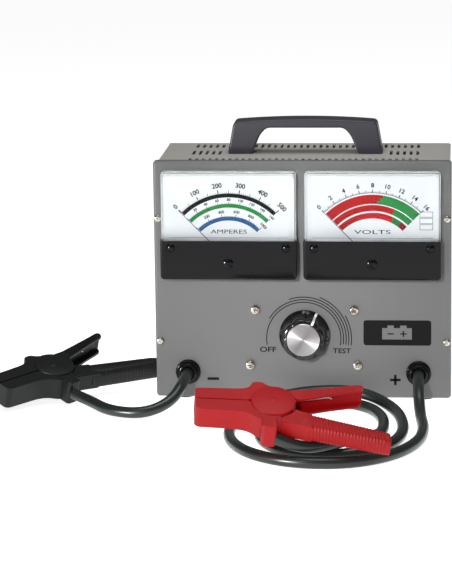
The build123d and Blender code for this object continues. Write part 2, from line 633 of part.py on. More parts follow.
def lever_a():
    """Upper lever: fork with two ears, jaw, finger guard and a channel-section handle."""
    half = CLAMP_HALF
    jaw = flat([(NOSE, 0.6), (NOSE, 11.0), (NOSE + 3, 14.0), (-24, 15.5), (-17, 24.0), (-14, 25.6),
                (-8, 25.6), (-4, 20), (6, 16), (6, 0.6)], -half, half)
    grip = flat([(0, 4.6), (0, 18.5), (24, 17.3), (77, 28.6), (80, 27.0), (79, 21.0), (24, 4.6)],
                -half + 1, half - 1)
    channel = flat([(12, 0), (12, 11.3), (24, 14.3), (75, 24.8), (75, 10), (30, 0)], -6.6, 6.6)
    lever = jaw + grip + pin_rod(DISC, half)
    lever -= pin_rod(DISC + 1.0, TONGUE_HALF + GAP)
    lever -= channel
    lever -= flat([(NOSE - 1, 0), (NOSE - 1, 2.6), (-30, 2.6), (-30, 0)], -6, 6)
    lever -= pin_rod(PIN_RADIUS + 0.05, half + 1)
    for number in range(15):
        at = 34.0 + number * 2.8
        rise = 17.3 + (at - 24) * 0.2132
        lever -= flat([(at, rise + 1), (at, rise - 0.5), (at + 1.1, rise - 0.3), (at + 1.1, rise + 1)],
                      -half, half)
    return lever


def lever_b(socket):
    """Lower lever: tongue on the pin, jaw, round ribbed handle and the cable block."""
    half = CLAMP_HALF
    jaw = flat([(NOSE, -0.6), (NOSE, -11.0), (NOSE + 3, -14.0), (-26, -15.5), (-14, -21), (6, -21), (6, -0.6)],
               -half, half)
    grip = flat([(4, -8.0), (4, -21.5), (14, -23.0), (24, -29.0), (60, -37.5), (97, -45.5), (100, -42.0),
                 (100.5, -34.0), (98, -30.8), (24, -7.6)], -8.3, 8.3)
    edges = [e for e in grip.edges() if abs(e.tangent_at(0.5).Z) < 0.1 and e.center().X > 30]
    grip = fillet(edges, 2.6)
    clip = flat([(-10, -15), (-10, -36), (2, -36), (2, -15)], -11, 11.5)
    clip = fillet(clip.edges().filter_by(Axis.Z), 1.5)
    lever = jaw + grip + clip
    lever -= pin_rod(DISC + GAP, half + 2)
    lever += pin_rod(TONGUE_RADIUS, TONGUE_HALF)
    lever -= pin_rod(9.5, COIL_HALF)
    lever -= flat([(0, -9), (0, 12), (24, 22), (24, -12), (56, -22), (56, -30.0), (26, -21.5)],
                  -COIL_HALF, COIL_HALF)
    lever -= flat([(NOSE - 1, 0), (NOSE - 1, -2.6), (-30, -2.6), (-30, 0)], -6, 6)
    lever -= pin_rod(PIN_RADIUS, half + 1)
    for number in range(21):
        at = 34.0 + number * 2.8
        drop = -29.0 - (at - 24) * 0.2222
        lever -= flat([(at, drop - 2), (at, drop + 0.5), (at + 1.1, drop + 0.2), (at + 1.1, drop - 2)],
                      -half, half)
    return lever - socket


def spring():
    """Torsion spring drawn as its coil envelope with two straight legs."""
    coil = pin_rod(8.0, 4.0) - pin_rod(5.0, 5.0)
    for end, lift in (((50.0, 17.0), 1.6), ((48.0, -25.4), -1.6)):
        start = (2.0, 6.5 if end[1] > 0 else -6.5)
        run = hypot(end[0] - start[0], end[1] - start[1])
        direction = ((end[0] - start[0]) / run, (end[1] - start[1]) / run, 0)
        leg = Plane(origin=(start[0], start[1], lift), z_dir=direction) * extrude(Circle(1.2), run)
        coil += leg
    return coil


def jaw_insert(side):
    """Toothed copper contact in one jaw; side is 1 for lever A and -1 for lever B."""
    points = [(NOSE + 1, side * 2.6)]
    for number in range(12):
        at = NOSE + 1 + number * 3.0
        points += [(at, side * 0.9), (at + 1.5, side * 0.35)]
    points += [(-31, side * 0.9), (-31, side * 2.6)]
    return flat(points, -6, 6)


def clamp(name, socket):
    """Build one clamp in its own axes and set every piece in place."""
    pivot, yaw, roll, pitch = CLAMP_PLACES[name]
    place = Pos(*pivot) * Rot(0, 0, yaw) * Rot(roll, 0, 0) * Rot(0, pitch, 0)
    local_socket = place.inverse() * socket
    keep(f"{name}_clamp_lever_a", place * lever_a())
    keep(f"{name}_clamp_lever_b", place * lever_b(local_socket))
    keep(f"{name}_clamp_pin", place * pin_rod(PIN_RADIUS, CLAMP_HALF - 0.4))
    keep(f"{name}_clamp_spring", place * spring())
    keep(f"{name}_clamp_contact_a", place * jaw_insert(1))
    keep(f"{name}_clamp_contact_b", place * jaw_insert(-1))


# ---------------------------------------------------------------- leads
FLOOR = CORD_RADIUS          # height of a lead's centre line on the table
STACKED = 3 * CORD_RADIUS + 0.6

BLACK_ROUTE = [
    (-GROMMET_X, 3.5, GROMMET_Z), (-GROMMET_X, -28.0, GROMMET_Z), (-119.0, -56.0, 14.0),
    (-144.0, -70.0, FLOOR), (-178.0, -60.0, FLOOR), (-200.0, -34.0, 8.5), (-216.5, -24.0, 12.5),
]

RED_ROUTE = [
    (GROMMET_X, 3.5, GROMMET_Z), (GROMMET_X, -30.0, GROMMET_Z), (112.0, -66.0, FLOOR),
    (117.0, -112.0, FLOOR), (113.0, -162.0, FLOOR), (93.0, -208.0, FLOOR), (54.0, -238.0, FLOOR),
    (6.0, -238.0, FLOOR), (-33.0, -212.0, FLOOR), (-55.0, -170.0, FLOOR), (-61.0, -124.0, FLOOR),
    (-53.0, -80.0, 7.0), (-31.0, -40.0, 13.0), (8.0, -17.5, STACKED), (56.0, -17.5, STACKED),
    (89.0, -50.0, 8.0), (99.0, -104.0, FLOOR), (95.0, -156.0, FLOOR), (75.0, -197.0, FLOOR),
    (34.0, -213.0, FLOOR), (-6.0, -201.0, FLOOR), (-29.0, -162.0, FLOOR), (-33.0, -116.0, FLOOR),
    (-26.0, -70.0, FLOOR), (-2.0, -29.0, FLOOR), (38.0, -16.5, FLOOR), (66.0, -38.0, FLOOR),
    (79.0, -78.0, FLOOR), (80.0, -120.0, FLOOR), (76.0, -158.0, 9.5), (60.0, -192.0, STACKED),
    (34.0, -219.0, STACKED), (9.0, -233.0, 17.0), (-12.0, -240.0, 29.0),
]


def route_line(name, points):
    """Straight runs joined by tangent arcs, the arc at each corner sized by its shorter run."""
    corners = [Vector(x, behind(depth), z) for x, depth, z in points]
    radii = []
    for before, corner, after in zip(corners, corners[1:], corners[2:]):
        run_in, run_out = corner - before, after - corner
        turn = radians(run_in.get_angle(run_out))
        radii.append(0.45 * min(run_in.length, run_out.length) / tan(turn / 2))
    line = FilletPolyline(*corners, radius=radii)
    print(name, "length", round(line.length), "radii", [round(r) for r in radii])
    return line


def lead(name, points):
    """A round lead along a route."""
    line = route_line(name, points)
    start = Plane(line @ 0, z_dir=line % 0)
    keep(name, sweep(start * Circle(CORD_RADIUS), line))


def socket(points):
    """The bore a lead's last straight piece sits in."""
    before, end = [Vector(x, behind(depth), z) for x, depth, z in points[-2:]]
    back = (before - end).normalized()
    return Plane(origin=end, z_dir=back) * extrude(Circle(CORD_RADIUS), 40.0)


# ---------------------------------------------------------------- build everything
front_panel()
cover()
back_panel()
base_plate()
feet()
handle()
case_screws()
meters()
knob()
load_screw()
pile_frame()
carbon_pile()
bus_and_shunt()
leads_inside()
grommets()
clamp("red", socket(RED_ROUTE))
clamp("black", socket(BLACK_ROUTE))
lead("black_lead", BLACK_ROUTE)
lead("red_lead", RED_ROUTE)

os.makedirs("parts", exist_ok=True)
for name, shape in parts.items():
    export_step(shape, f"parts/{name}.step")
print(len(parts), "parts")
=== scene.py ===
"""Looks for the carbon pile battery tester: finer meshes, materials, dials, leads, light and camera.

Lengths are written in millimetres in the part's own frame and turned into metres as each mesh is made.
A depth counts back from the panel's face, so what stands in front of the panel has a negative one.
The stage, lights and camera are in metres.
"""
import json
from math import atan2, cos, hypot, pi, radians, sin

import bmesh
import bpy
from mathutils import Matrix, Vector

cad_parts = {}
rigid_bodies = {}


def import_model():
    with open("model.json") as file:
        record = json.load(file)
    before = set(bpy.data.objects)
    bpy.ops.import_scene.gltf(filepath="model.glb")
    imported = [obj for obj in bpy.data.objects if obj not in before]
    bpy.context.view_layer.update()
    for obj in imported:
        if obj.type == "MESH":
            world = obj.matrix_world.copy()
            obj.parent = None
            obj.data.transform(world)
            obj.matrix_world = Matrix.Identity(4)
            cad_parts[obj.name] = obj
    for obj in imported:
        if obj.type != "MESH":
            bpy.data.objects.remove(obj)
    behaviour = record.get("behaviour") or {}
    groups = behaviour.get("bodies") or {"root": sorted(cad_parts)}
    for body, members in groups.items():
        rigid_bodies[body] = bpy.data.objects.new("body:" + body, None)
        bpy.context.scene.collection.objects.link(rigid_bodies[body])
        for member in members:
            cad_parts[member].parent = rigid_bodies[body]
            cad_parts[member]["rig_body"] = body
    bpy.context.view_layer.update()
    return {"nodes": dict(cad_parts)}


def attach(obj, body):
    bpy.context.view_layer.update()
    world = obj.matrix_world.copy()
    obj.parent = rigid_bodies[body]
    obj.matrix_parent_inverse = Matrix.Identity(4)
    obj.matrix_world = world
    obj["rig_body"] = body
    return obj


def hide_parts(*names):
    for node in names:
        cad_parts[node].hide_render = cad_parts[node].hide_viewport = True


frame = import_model()

# ---------------------------------------------------------------- dimensions shared with the part
MM = 0.001
PANEL_Y = -52.1
CASE_HALF = 140.0
CASE_BOTTOM = 5.0
CASE_TOP = 232.0
CASE_DEPTH = 127.0
COVER_HALF = 138.0
COVER_TOP = 230.0
METERS = (("ammeter", -68.4), ("voltmeter", 66.4))
METER_HALF = 63.5
METER_BOTTOM = 122.0
METER_TOP = 223.5
METER_SPLIT = 159.0
METER_DEPTH = 16.0
COVER_SCREW_X = 54.2
COVER_SCREW_Z = 152.6
PIVOT_Z = 139.5
ZERO_Z = 137.5
SCALE_LOW = -45.0
SCALE_HIGH = 45.0
NEEDLE_REST = SCALE_LOW
NEEDLE_LENGTH = 66.5
KNOB_X = 1.9
KNOB_Z = 66.3
KNOB_REST = 29.0
KNOB_HEIGHT = 25.0
GROMMET_X = 109.4
GROMMET_Z = 29.5
GROMMET_RADIUS = 11.8
CORD_RADIUS = 5.25
HANDLE_Y = 70.0
PANEL_SCREWS = [(-44.8, 90.1), (48.7, 90.1), (-50.2, 36.6), (51.8, 36.6)]
SIDE_SCREWS = [(-135.6, 177.5), (135.6, 177.5), (-135.6, 59.4), (135.6, 59.4)]
BACK_SCREWS = [(-130.0, 216.0), (130.0, 216.0), (-130.0, 20.0), (130.0, 20.0)]
FEET = [(-115.0, 25.0), (115.0, 25.0), (-115.0, 105.0), (115.0, 105.0)]
CLAMPS = {
    # name: (pivot, yaw, roll, pitch)
    "red": ((-14.0, -266.1, 46.0), 6.0, 25.5, 4.5),
    "black": ((-240.5, -46.1, 24.0), 50.0, 18.0, -5.0),
}


# ---------------------------------------------------------------- materials
GRAIN_SCALE = 900.0
PAINT_SCALE = 2600.0
MOULDED_SCALE = 1500.0


def material(name, colour, roughness, metallic=0.0, noise=0.0, specular=0.5, bump=0.0,
             bump_scale=GRAIN_SCALE):
    """A surface; noise varies its roughness finely and bump gives it a fine grain."""
    made = bpy.data.materials.new(name)
    made.use_nodes = True
    nodes, links = made.node_tree.nodes, made.node_tree.links
    shader = nodes["Principled BSDF"]
    shader.inputs["Base Color"].default_value = (*colour, 1.0)
    shader.inputs["Roughness"].default_value = roughness
    shader.inputs["Metallic"].default_value = metallic
    shader.inputs["Specular IOR Level"].default_value = specular
    coordinates = nodes.new("ShaderNodeTexCoord")
    if noise > 0.0:
        grain = nodes.new("ShaderNodeTexNoise")
        grain.inputs["Scale"].default_value = GRAIN_SCALE
        grain.inputs["Detail"].default_value = 4.0
        ramp = nodes.new("ShaderNodeMapRange")
        ramp.inputs["To Min"].default_value = max(0.0, roughness - noise)
        ramp.inputs["To Max"].default_value = min(1.0, roughness + noise)
        links.new(coordinates.outputs["Object"], grain.inputs["Vector"])
        links.new(grain.outputs["Fac"], ramp.inputs["Value"])
        links.new(ramp.outputs["Result"], shader.inputs["Roughness"])
    if bump > 0.0:
        texture = nodes.new("ShaderNodeTexNoise")
        texture.inputs["Scale"].default_value = bump_scale
        texture.inputs["Detail"].default_value = 3.0
        relief = nodes.new("ShaderNodeBump")
        relief.inputs["Strength"].default_value = bump
        relief.inputs["Distance"].default_value = 0.0002
        links.new(coordinates.outputs["Object"], texture.inputs["Vector"])
        links.new(texture.outputs["Fac"], relief.inputs["Height"])
        links.new(relief.outputs["Normal"], shader.inputs["Normal"])
    return made


def clear_plastic(name):
    """A clear moulding that bends light so little that the dial behind it stays undistorted."""
    made = material(name, (0.97, 0.99, 1.0), 0.02)
    shader = made.node_tree.nodes["Principled BSDF"]
    shader.inputs["Transmission Weight"].default_value = 1.0
    shader.inputs["IOR"].default_value = 1.16
    return made


def spun_metal(name):
    """Aluminium with a radial highlight, as a turned face has."""
    made = material(name, (0.66, 0.68, 0.69), 0.28, metallic=1.0)
    nodes, links = made.node_tree.nodes, made.node_tree.links
    shader = nodes["Principled BSDF"]
    shader.inputs["Anisotropic"].default_value = 0.85
    shader.inputs["Anisotropic Rotation"].default_value = 0.25
    tangent = nodes.new("ShaderNodeTangent")
    tangent.direction_type = "RADIAL"
    tangent.axis = "Y"
    links.new(tangent.outputs["Tangent"], shader.inputs["Tangent"])
    return made


def ink(name, colour):
    """A matt printing ink."""
    return material(f"ink_{name}", colour, 0.6, specular=0.05)


PANEL = material("panel_paint", (0.155, 0.156, 0.156), 0.42, specular=0.35, noise=0.05, bump=0.10,
                 bump_scale=PAINT_SCALE)
COVER = material("cover_paint", (0.46, 0.445, 0.415), 0.40, noise=0.05, bump=0.12, bump_scale=PAINT_SCALE)
HANDLE = material("handle_plastic", (0.040, 0.037, 0.050), 0.42, bump=0.08, bump_scale=1800.0)
NICKEL = material("screw_nickel", (0.60, 0.57, 0.50), 0.16, metallic=1.0)
STEEL = material("plain_steel", (0.55, 0.55, 0.55), 0.35, metallic=1.0, noise=0.08)
BLACK_GLOSS = material("black_gloss", (0.003, 0.003, 0.004), 0.14, specular=0.22)
KNOB_BLACK = material("knob_black", (0.006, 0.006, 0.007), 0.16, specular=0.6)
RUBBER = material("lead_rubber", (0.016, 0.023, 0.021), 0.30, noise=0.06, bump=0.05)
FOOT_RUBBER = material("foot_rubber", (0.02, 0.02, 0.02), 0.6)
DIAL = material("dial_white", (0.97, 0.985, 1.0), 0.5, specular=0.3)
METER_WHITE = material("meter_white", (0.78, 0.79, 0.79), 0.45)
INK_BLACK = ink("black", (0.012, 0.012, 0.012))
INK_GREEN = ink("green", (0.027, 0.22, 0.053))
INK_BLUE = ink("blue", (0.027, 0.10, 0.24))
INK_RED = ink("red", (0.40, 0.015, 0.015))
INK_DARK_RED = ink("dark_red", (0.25, 0.01, 0.02))
INK_GREY = ink("grey", (0.16, 0.17, 0.18))
INK_WHITE = material("ink_white", (0.88, 0.88, 0.86), 0.4)
CLEAR = clear_plastic("clear_cover")
CLAMP_RED = material("clamp_red", (0.36, 0.005, 0.007), 0.50, specular=0.22, bump=0.10,
                     bump_scale=MOULDED_SCALE)
CLAMP_BLACK = material("clamp_black", (0.010, 0.011, 0.012), 0.44, specular=0.25, bump=0.10,
                       bump_scale=MOULDED_SCALE)
COPPER = material("contact_copper", (0.72, 0.33, 0.20), 0.3, metallic=1.0)
BRASS = material("brass", (0.70, 0.50, 0.20), 0.3, metallic=1.0)
CAP = spun_metal("knob_cap_metal")
CARBON = material("carbon", (0.03, 0.03, 0.032), 0.55)
INSULATOR = material("insulator_board", (0.25, 0.12, 0.05), 0.6)

CAD_FINISHES = {
    COVER: ("back_panel", "base_plate"),
    STEEL: ("pile_frame", "meter_magnets", "meter_fixings", "foot_screws", "handle_screws", "load_screw",
            "knob_grub_screw", "frame_spacers"),
    BRASS: ("meter_terminals", "shunt", "lead_lugs", "positive_bus_bar", "contact_plate", "pressure_plate"),
    METER_WHITE: ("ammeter_base", "voltmeter_base"),
    BLACK_GLOSS: ("grommet_nuts",),
    RUBBER: ("inner_lead_black", "inner_lead_red"),
    CARBON: ("carbon_discs",),
    INSULATOR: ("pile_insulator", "shunt_insulator"),
}
for finish, names in CAD_FINISHES.items():
    for node in names:
        mesh = frame["nodes"][node].data
        mesh.materials.clear()
        mesh.materials.append(finish)


# ---------------------------------------------------------------- mesh helpers
def behind(depth):
    """The Y of a depth."""
    return PANEL_Y + depth


def make(name, vertices, faces, finish, place=None, sharp=40.0):
    """A mesh object from millimetre points, smooth except across sharp edges."""
    mesh = bpy.data.meshes.new(name)
    points = [Vector(v) for v in vertices]
    if place is not None:
        points = [place @ v for v in points]
    mesh.from_pydata([v * MM for v in points], [], faces)
    work = bmesh.new()
    work.from_mesh(mesh)
    bmesh.ops.remove_doubles(work, verts=work.verts, dist=1e-7)
    bmesh.ops.recalc_face_normals(work, faces=work.faces)
    work.to_mesh(mesh)
    work.free()
    made = bpy.data.objects.new(name, mesh)
    bpy.context.collection.objects.link(made)
    mesh.materials.append(finish)
    smooth(made, sharp)
    return made


def smooth(made, sharp):
    """Smooth shading that breaks where faces meet at more than this angle."""
    work = bmesh.new()
    work.from_mesh(made.data)
    for face in work.faces:
        face.smooth = True
    for edge in work.edges:
        edge.smooth = not (len(edge.link_faces) == 2 and edge.calc_face_angle(0.0) > radians(sharp))
    work.to_mesh(made.data)
    work.free()


def bake(made):
    """Turn the object's modifiers into its mesh."""
    graph = bpy.context.evaluated_depsgraph_get()
    graph.update()
    mesh = bpy.data.meshes.new_from_object(made.evaluated_get(graph))
    made.modifiers.clear()
    made.data = mesh
    return made


def soften(made, width, segments, angle):
    """Round the edges where faces meet at more than this angle."""
    bevel = made.modifiers.new("bevel", "BEVEL")
    bevel.width = width * MM
    bevel.segments = segments
    bevel.limit_method = "ANGLE"
    bevel.angle_limit = radians(angle)
    bevel.use_clamp_overlap = True
    bake(made)
    smooth(made, 60.0)
    weighted = made.modifiers.new("weighted", "WEIGHTED_NORMAL")
    weighted.keep_sharp = True
    return bake(made)


def cut_out(made, other):
    """Take the shape of other out of made; other is used up."""
    step = made.modifiers.new("cut", "BOOLEAN")
    step.operation = "DIFFERENCE"
    step.object = other
    step.solver = "EXACT"
    bake(made)
    bpy.data.objects.remove(other)
    smooth(made, 40.0)
    return made


def join(name, objects):
    """Several meshes as one object, keeping each one's material."""
    work = bmesh.new()
    finishes = []
    for item in objects:
        offset = len(work.faces)
        work.from_mesh(item.data)
        work.faces.ensure_lookup_table()
        finish = item.data.materials[0]
        if finish not in finishes:
            finishes.append(finish)
        for face in work.faces[offset:]:
            face.material_index = finishes.index(finish)
    mesh = bpy.data.meshes.new(name)
    work.to_mesh(mesh)
    work.free()
    for finish in finishes:
        mesh.materials.append(finish)
    for item in objects:
        bpy.data.objects.remove(item)
    made = bpy.data.objects.new(name, mesh)
    bpy.context.collection.objects.link(made)
    return made


def loft(name, loops, finish, place=None, sharp=40.0):
    """Skin over a list of closed loops with the same number of points, closed at both ends."""
    count = len(loops[0])
    vertices = [point for loop in loops for point in loop]
    faces = []
    for step in range(len(loops) - 1):
        for i in range(count):
            j = (i + 1) % count
            low, high = step * count, (step + 1) * count
            faces.append((low + i, low + j, high + j, high + i))
    faces.append(tuple(range(count - 1, -1, -1)))
    faces.append(tuple((len(loops) - 1) * count + i for i in range(count)))
    return make(name, vertices, faces, finish, place, sharp)


def box(x0, x1, y0, y1):
    """The corners of a rectangle."""
    return [(x0, y0), (x1, y0), (x1, y1), (x0, y1)]


def circle(count):
    """Evenly spaced angles once round."""
    return [2 * pi * i / count for i in range(count)]


def rounded(x0, x1, z0, z1, radius, depth, steps=6):
    """A rounded rectangle on an upright plane at this depth."""
    points = []
    centres = ((x1 - radius, z1 - radius), (x0 + radius, z1 - radius), (x0 + radius, z0 + radius),
               (x1 - radius, z0 + radius))
    for quarter, (cx, cz) in enumerate(centres):
        for step in range(steps + 1):
            angle = radians(90 * quarter + 90 * step / steps)
            points.append((cx + radius * cos(angle), behind(depth), cz + radius * sin(angle)))
    return points


def shaped(name, x0, x1, z0, z1, radius, profile, finish, sharp=40.0):
    """A rounded-rectangle body lofted through (inset, depth) pairs."""
    loops = []
    for inset, depth in profile:
        corner = max(radius - inset, 0.3)
        loops.append(rounded(x0 + inset, x1 - inset, z0 + inset, z1 - inset, corner, depth))
    return loft(name, loops, finish, sharp=sharp)


def arc_profile(inset, depth, size, steps=5):
    """Quarter-round from (inset, depth + size) to (inset + size, depth)."""
    points = []
    for step in range(steps + 1):
        angle = radians(90 * step / steps)
        points.append((inset + size * (1 - cos(angle)), depth + size * (1 - sin(angle))))
    return points


def turned(name, x, z, profile, finish, count=72, place=None, sharp=40.0):
    """A body of revolution about a Y axis through x, z, from (radius, depth) pairs."""
    loops = [[(x + radius * cos(angle), behind(depth), z + radius * sin(angle)) for angle in circle(count)]
             for radius, depth in profile]
    return loft(name, loops, finish, place, sharp)


def eased(points, size, steps=5):
    """A closed outline with its corners rounded; size is one length or one for each corner."""
    count = len(points)
    sizes = size if isinstance(size, (list, tuple)) else [size] * count
    outline = []
    for i, (x, y) in enumerate(points):
        before, after = points[i - 1], points[(i + 1) % count]
        arms = []
        for other in (before, after):
            length = hypot(other[0] - x, other[1] - y)
            share = min(sizes[i], length * 0.45) / length
            arms.append((x + (other[0] - x) * share, y + (other[1] - y) * share))
        if sizes[i] <= 0:
            outline.append((x, y))
            continue
        for step in range(steps + 1):
            t = step / steps
            a, b, c = (1 - t) ** 2, 2 * t * (1 - t), t * t
            outline.append((a * arms[0][0] + b * x + c * arms[1][0],
                            a * arms[0][1] + b * y + c * arms[1][1]))
    return outline


def slab(name, outline, low, high, finish, place=None, upright=False):
    """An outline extruded along Z, or along Y between two depths when upright."""
    loops = []
    for level in (low, high):
        if upright:
            loops.append([(x, behind(level), z) for x, z in outline])
        else:
            loops.append([(x, y, level) for x, y in outline])
    return loft(name, loops, finish, place)


def brick(name, x, y, z, finish):
    """A block from its limits along each axis."""
    return slab(name, box(*x, *y), *z, finish)


def ring_sector(name, x, z, inner, outer, start, end, depth, finish, step=1.5):
    """A flat printed band around x, z, from start to end degrees clockwise from upright."""
    count = max(2, int(abs(end - start) / step))
    vertices = []
    for i in range(count + 1):
        angle = radians(start + (end - start) * i / count)
        for radius in (inner, outer):
            vertices.append((x + radius * sin(angle), behind(depth), z + radius * cos(angle)))
    faces = [(2 * i, 2 * i + 1, 2 * i + 3, 2 * i + 2) for i in range(count)]
    return make(name, vertices, faces, finish)


def print_quad(name, corners, depth, finish):
    """A flat printed patch from the x, z of its corners."""
    return make(name, [(x, behind(depth), z) for x, z in corners], [tuple(range(len(corners)))], finish)


def lettering(name, words, size, x, z, depth, finish, turn, weight, width=0.0):
    """Flat printed characters, centred, turned clockwise in degrees, thickened by a weight.

    With a width given, they are stretched to it.
    """
    curve = bpy.data.curves.new(name, "FONT")
    curve.body = words
    curve.size = size * MM
    curve.align_x = "CENTER"
    curve.align_y = "CENTER"
    curve.resolution_u = 3
    curve.offset = weight * MM
    writer = bpy.data.objects.new(name, curve)
    bpy.context.collection.objects.link(writer)
    graph = bpy.context.evaluated_depsgraph_get()
    mesh = bpy.data.meshes.new_from_object(writer.evaluated_get(graph))
    bpy.data.objects.remove(writer)
    if width > 0.0:
        spread = max(v.co.x for v in mesh.vertices) - min(v.co.x for v in mesh.vertices)
        mesh.transform(Matrix.Diagonal((width * MM / spread, 1.0, 1.0, 1.0)))
    place = Matrix.Translation(Vector((x, behind(depth), z)) * MM)
    mesh.transform(place @ Matrix.Rotation(radians(turn), 4, "Y") @ Matrix.Rotation(radians(90), 4, "X"))
    mesh.materials.clear()
    mesh.materials.append(finish)
    made = bpy.data.objects.new(name, mesh)
    bpy.context.collection.objects.link(made)
    return made


def around(x, z, radius, angle):
    """The point at this clockwise angle and radius from x, z."""
    return x + radius * sin(radians(angle)), z + radius * cos(radians(angle))


# ---------------------------------------------------------------- case
def case_panel():
    """The front panel, a shallow tray with a rounded front edge."""
    sheet, back = 1.5, 9.0
    rim = [(sheet, sheet), (sheet, back), (0.0, back)] + arc_profile(0.0, 0.0, 2.2, 6)
    panel = shaped("panel_sheet", -CASE_HALF, CASE_HALF, CASE_BOTTOM, CASE_TOP, 3.2, rim, PANEL, 30.0)
    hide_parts("front_panel")


def stadium(x, middle, length, width, steps=4):
    """Outline of a round-ended slot along Y."""
    points = []
    reach = length / 2 - width / 2
    for side, start in ((1, 0), (-1, 180)):
        for step in range(steps + 1):
            angle = radians(start + 180 * step / steps)
            y = behind(middle + side * reach) + width / 2 * sin(angle)
            points.append((x + width / 2 * cos(angle), y))
    return points


def case_cover():
    """The folded cover, with round-ended slots in its top and square ones in its sides."""
    half, low, top, corner, sheet = COVER_HALF, 7.0, COVER_TOP, 3.0, 1.2
    slots, end_slots, pitch, first, reach = 35, 5, 6.3, -107.1, 4
    outer = []
    inner = []
    for side, start in ((1, 0), (-1, 90)):
        for step in range(7):
            angle = radians(start + 90 * step / 6)
            outer.append((side * (half - corner) + corner * cos(angle), top - corner + corner * sin(angle)))
            wall = corner - sheet
            inner.append((side * (half - corner) + wall * cos(angle), top - corner + wall * sin(angle)))
    outline = [(half, low)] + outer + [(-half, low), (-half + sheet, low)] + inner[::-1]
    outline.append((half - sheet, low))
    shell = slab("cover_sheet", outline, 2.0, CASE_DEPTH - sheet, COVER, upright=True)
    cutters = []
    for number in range(slots):
        rows = [(27.0, 13.5), (107.0, 22.0)]
        if not end_slots <= number < slots - end_slots:
            rows.append((66.0, 26.0))      # only beyond the ends of the handle
        for middle, length in rows:
            outline = stadium(first + pitch * number, middle, length, 2.8)
            cutters.append(slab("slot", outline, top - reach, top + reach, COVER))
    for side in (-1, 1):
        for number in range(12):
            z = 60.0 + number * 9.0
            limits = sorted((side * (half - reach), side * (half + reach)))
            cutters.append(brick("slot", limits, (behind(45), behind(95)), (z, z + 3.0), COVER))
    cut_out(shell, join("slots", cutters))
    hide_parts("cover")


def carry_handle():
    """The moulded handle, with its slightly crowned top and the finger gap under it."""
    base, half_width = COVER_TOP, 13.5
    outline = [(-74.0, base), (-68.4, base + 30.6)]
    outline += [(x, base + 33.4 - 2.8 * (x / 68.4) ** 2) for x in range(-60, 61, 6)]
    outline += [(68.4, base + 30.6), (74.0, base), (51.0, base), (43.4, base + 18.0), (37.0, base + 25.0),
                (-37.0, base + 25.0), (-43.4, base + 18.0), (-51.0, base)]
    sizes = [0, 4.5] + [0] * 21 + [4.5, 0, 0, 5.0, 4.0, 4.0, 5.0, 0]
    body = slab("handle_body", eased(outline, sizes), HANDLE_Y - half_width, HANDLE_Y + half_width, HANDLE,
                upright=True)
    soften(body, 1.8, 4, 50.0)
    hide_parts("handle")


def feet():
    """Four rubber feet, each with the well its screw sits in."""
    profile = ((4.4, 2.4), (4.4, 0.0), (8.2, 0.0), (8.9, 0.6), (8.6, 6.7))
    for number, (x, depth) in enumerate(FEET):
        loops = [[(x + radius * cos(angle), behind(depth) + radius * sin(angle), z) for angle in circle(40)]
                 for radius, z in profile]
        pad = loft(f"foot_{number + 1}", loops, FOOT_RUBBER)
        if number == 0:
            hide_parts("feet")


def screw_head(name, x, z, radius, height, seat, turn):
    """A pan head with a cross recess."""
    profile = [(radius, seat)]
    for step in range(7):
        angle = radians(90 * step / 6)
        profile.append((radius * (0.62 + 0.38 * cos(angle)), seat - height * (0.25 + 0.75 * sin(angle))))
    profile.append((0.05, seat - height * 1.04))
    head = turned(name, x, z, profile, NICKEL, 40)
    long, thin = radius * 0.60, radius * 0.13
    back = behind(seat - height * 0.35)
    front = behind(seat - height - 2)
    cross = [(-long, -thin), (-thin, -thin), (-thin, -long), (thin, -long), (thin, -thin), (long, -thin),
             (long, thin), (thin, thin), (thin, long), (-thin, long), (-thin, thin), (-long, thin)]
    swing = Matrix.Translation((x, 0, z)) @ Matrix.Rotation(radians(turn), 4, "Y")
    taper = 0.55
    loops = [[(u * taper, back, w * taper) for u, w in cross], [(u, front, w) for u, w in cross]]
    return cut_out(head, loft("cross", loops, NICKEL, swing))


def case_screws():
    """The heads on the panel, on its two edges and on the back, each turned its own way."""
    for number, (x, z) in enumerate(PANEL_SCREWS):
        head = screw_head(f"panel_screw_{number + 1}", x, z, 4.75, 3.6, 0.0, 20 + 37 * number)
        if number == 0:
            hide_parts("panel_screws")
    for number, (x, z) in enumerate(SIDE_SCREWS):
        head = screw_head(f"side_screw_{number + 1}", x, z, 3.5, 2.8, 0.0, 10 + 41 * number)
        if number == 0:
            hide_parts("side_screws")
    for number, (x, z) in enumerate(BACK_SCREWS):
        head = screw_head(f"back_screw_{number + 1}", -x, z, 3.8, 2.8, 0.0, 15 + 53 * number)
        half_turn = Matrix.Rotation(pi, 4, "Z")
        shift = Matrix.Translation((0, (PANEL_Y + CASE_DEPTH + PANEL_Y) * MM, 0))
        head.data.transform(shift @ half_turn)
        if number == 0:
            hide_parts("back_screws")


# ---------------------------------------------------------------- meters
def dome_profile(radius, seat, height, steps=8):
    """(radius, depth) pairs of a round head from its rim to its middle."""
    profile = []
    for step in range(steps + 1):
        angle = radians(88 * step / steps)
        profile.append((radius * cos(angle), seat - height * sin(angle)))
    return profile


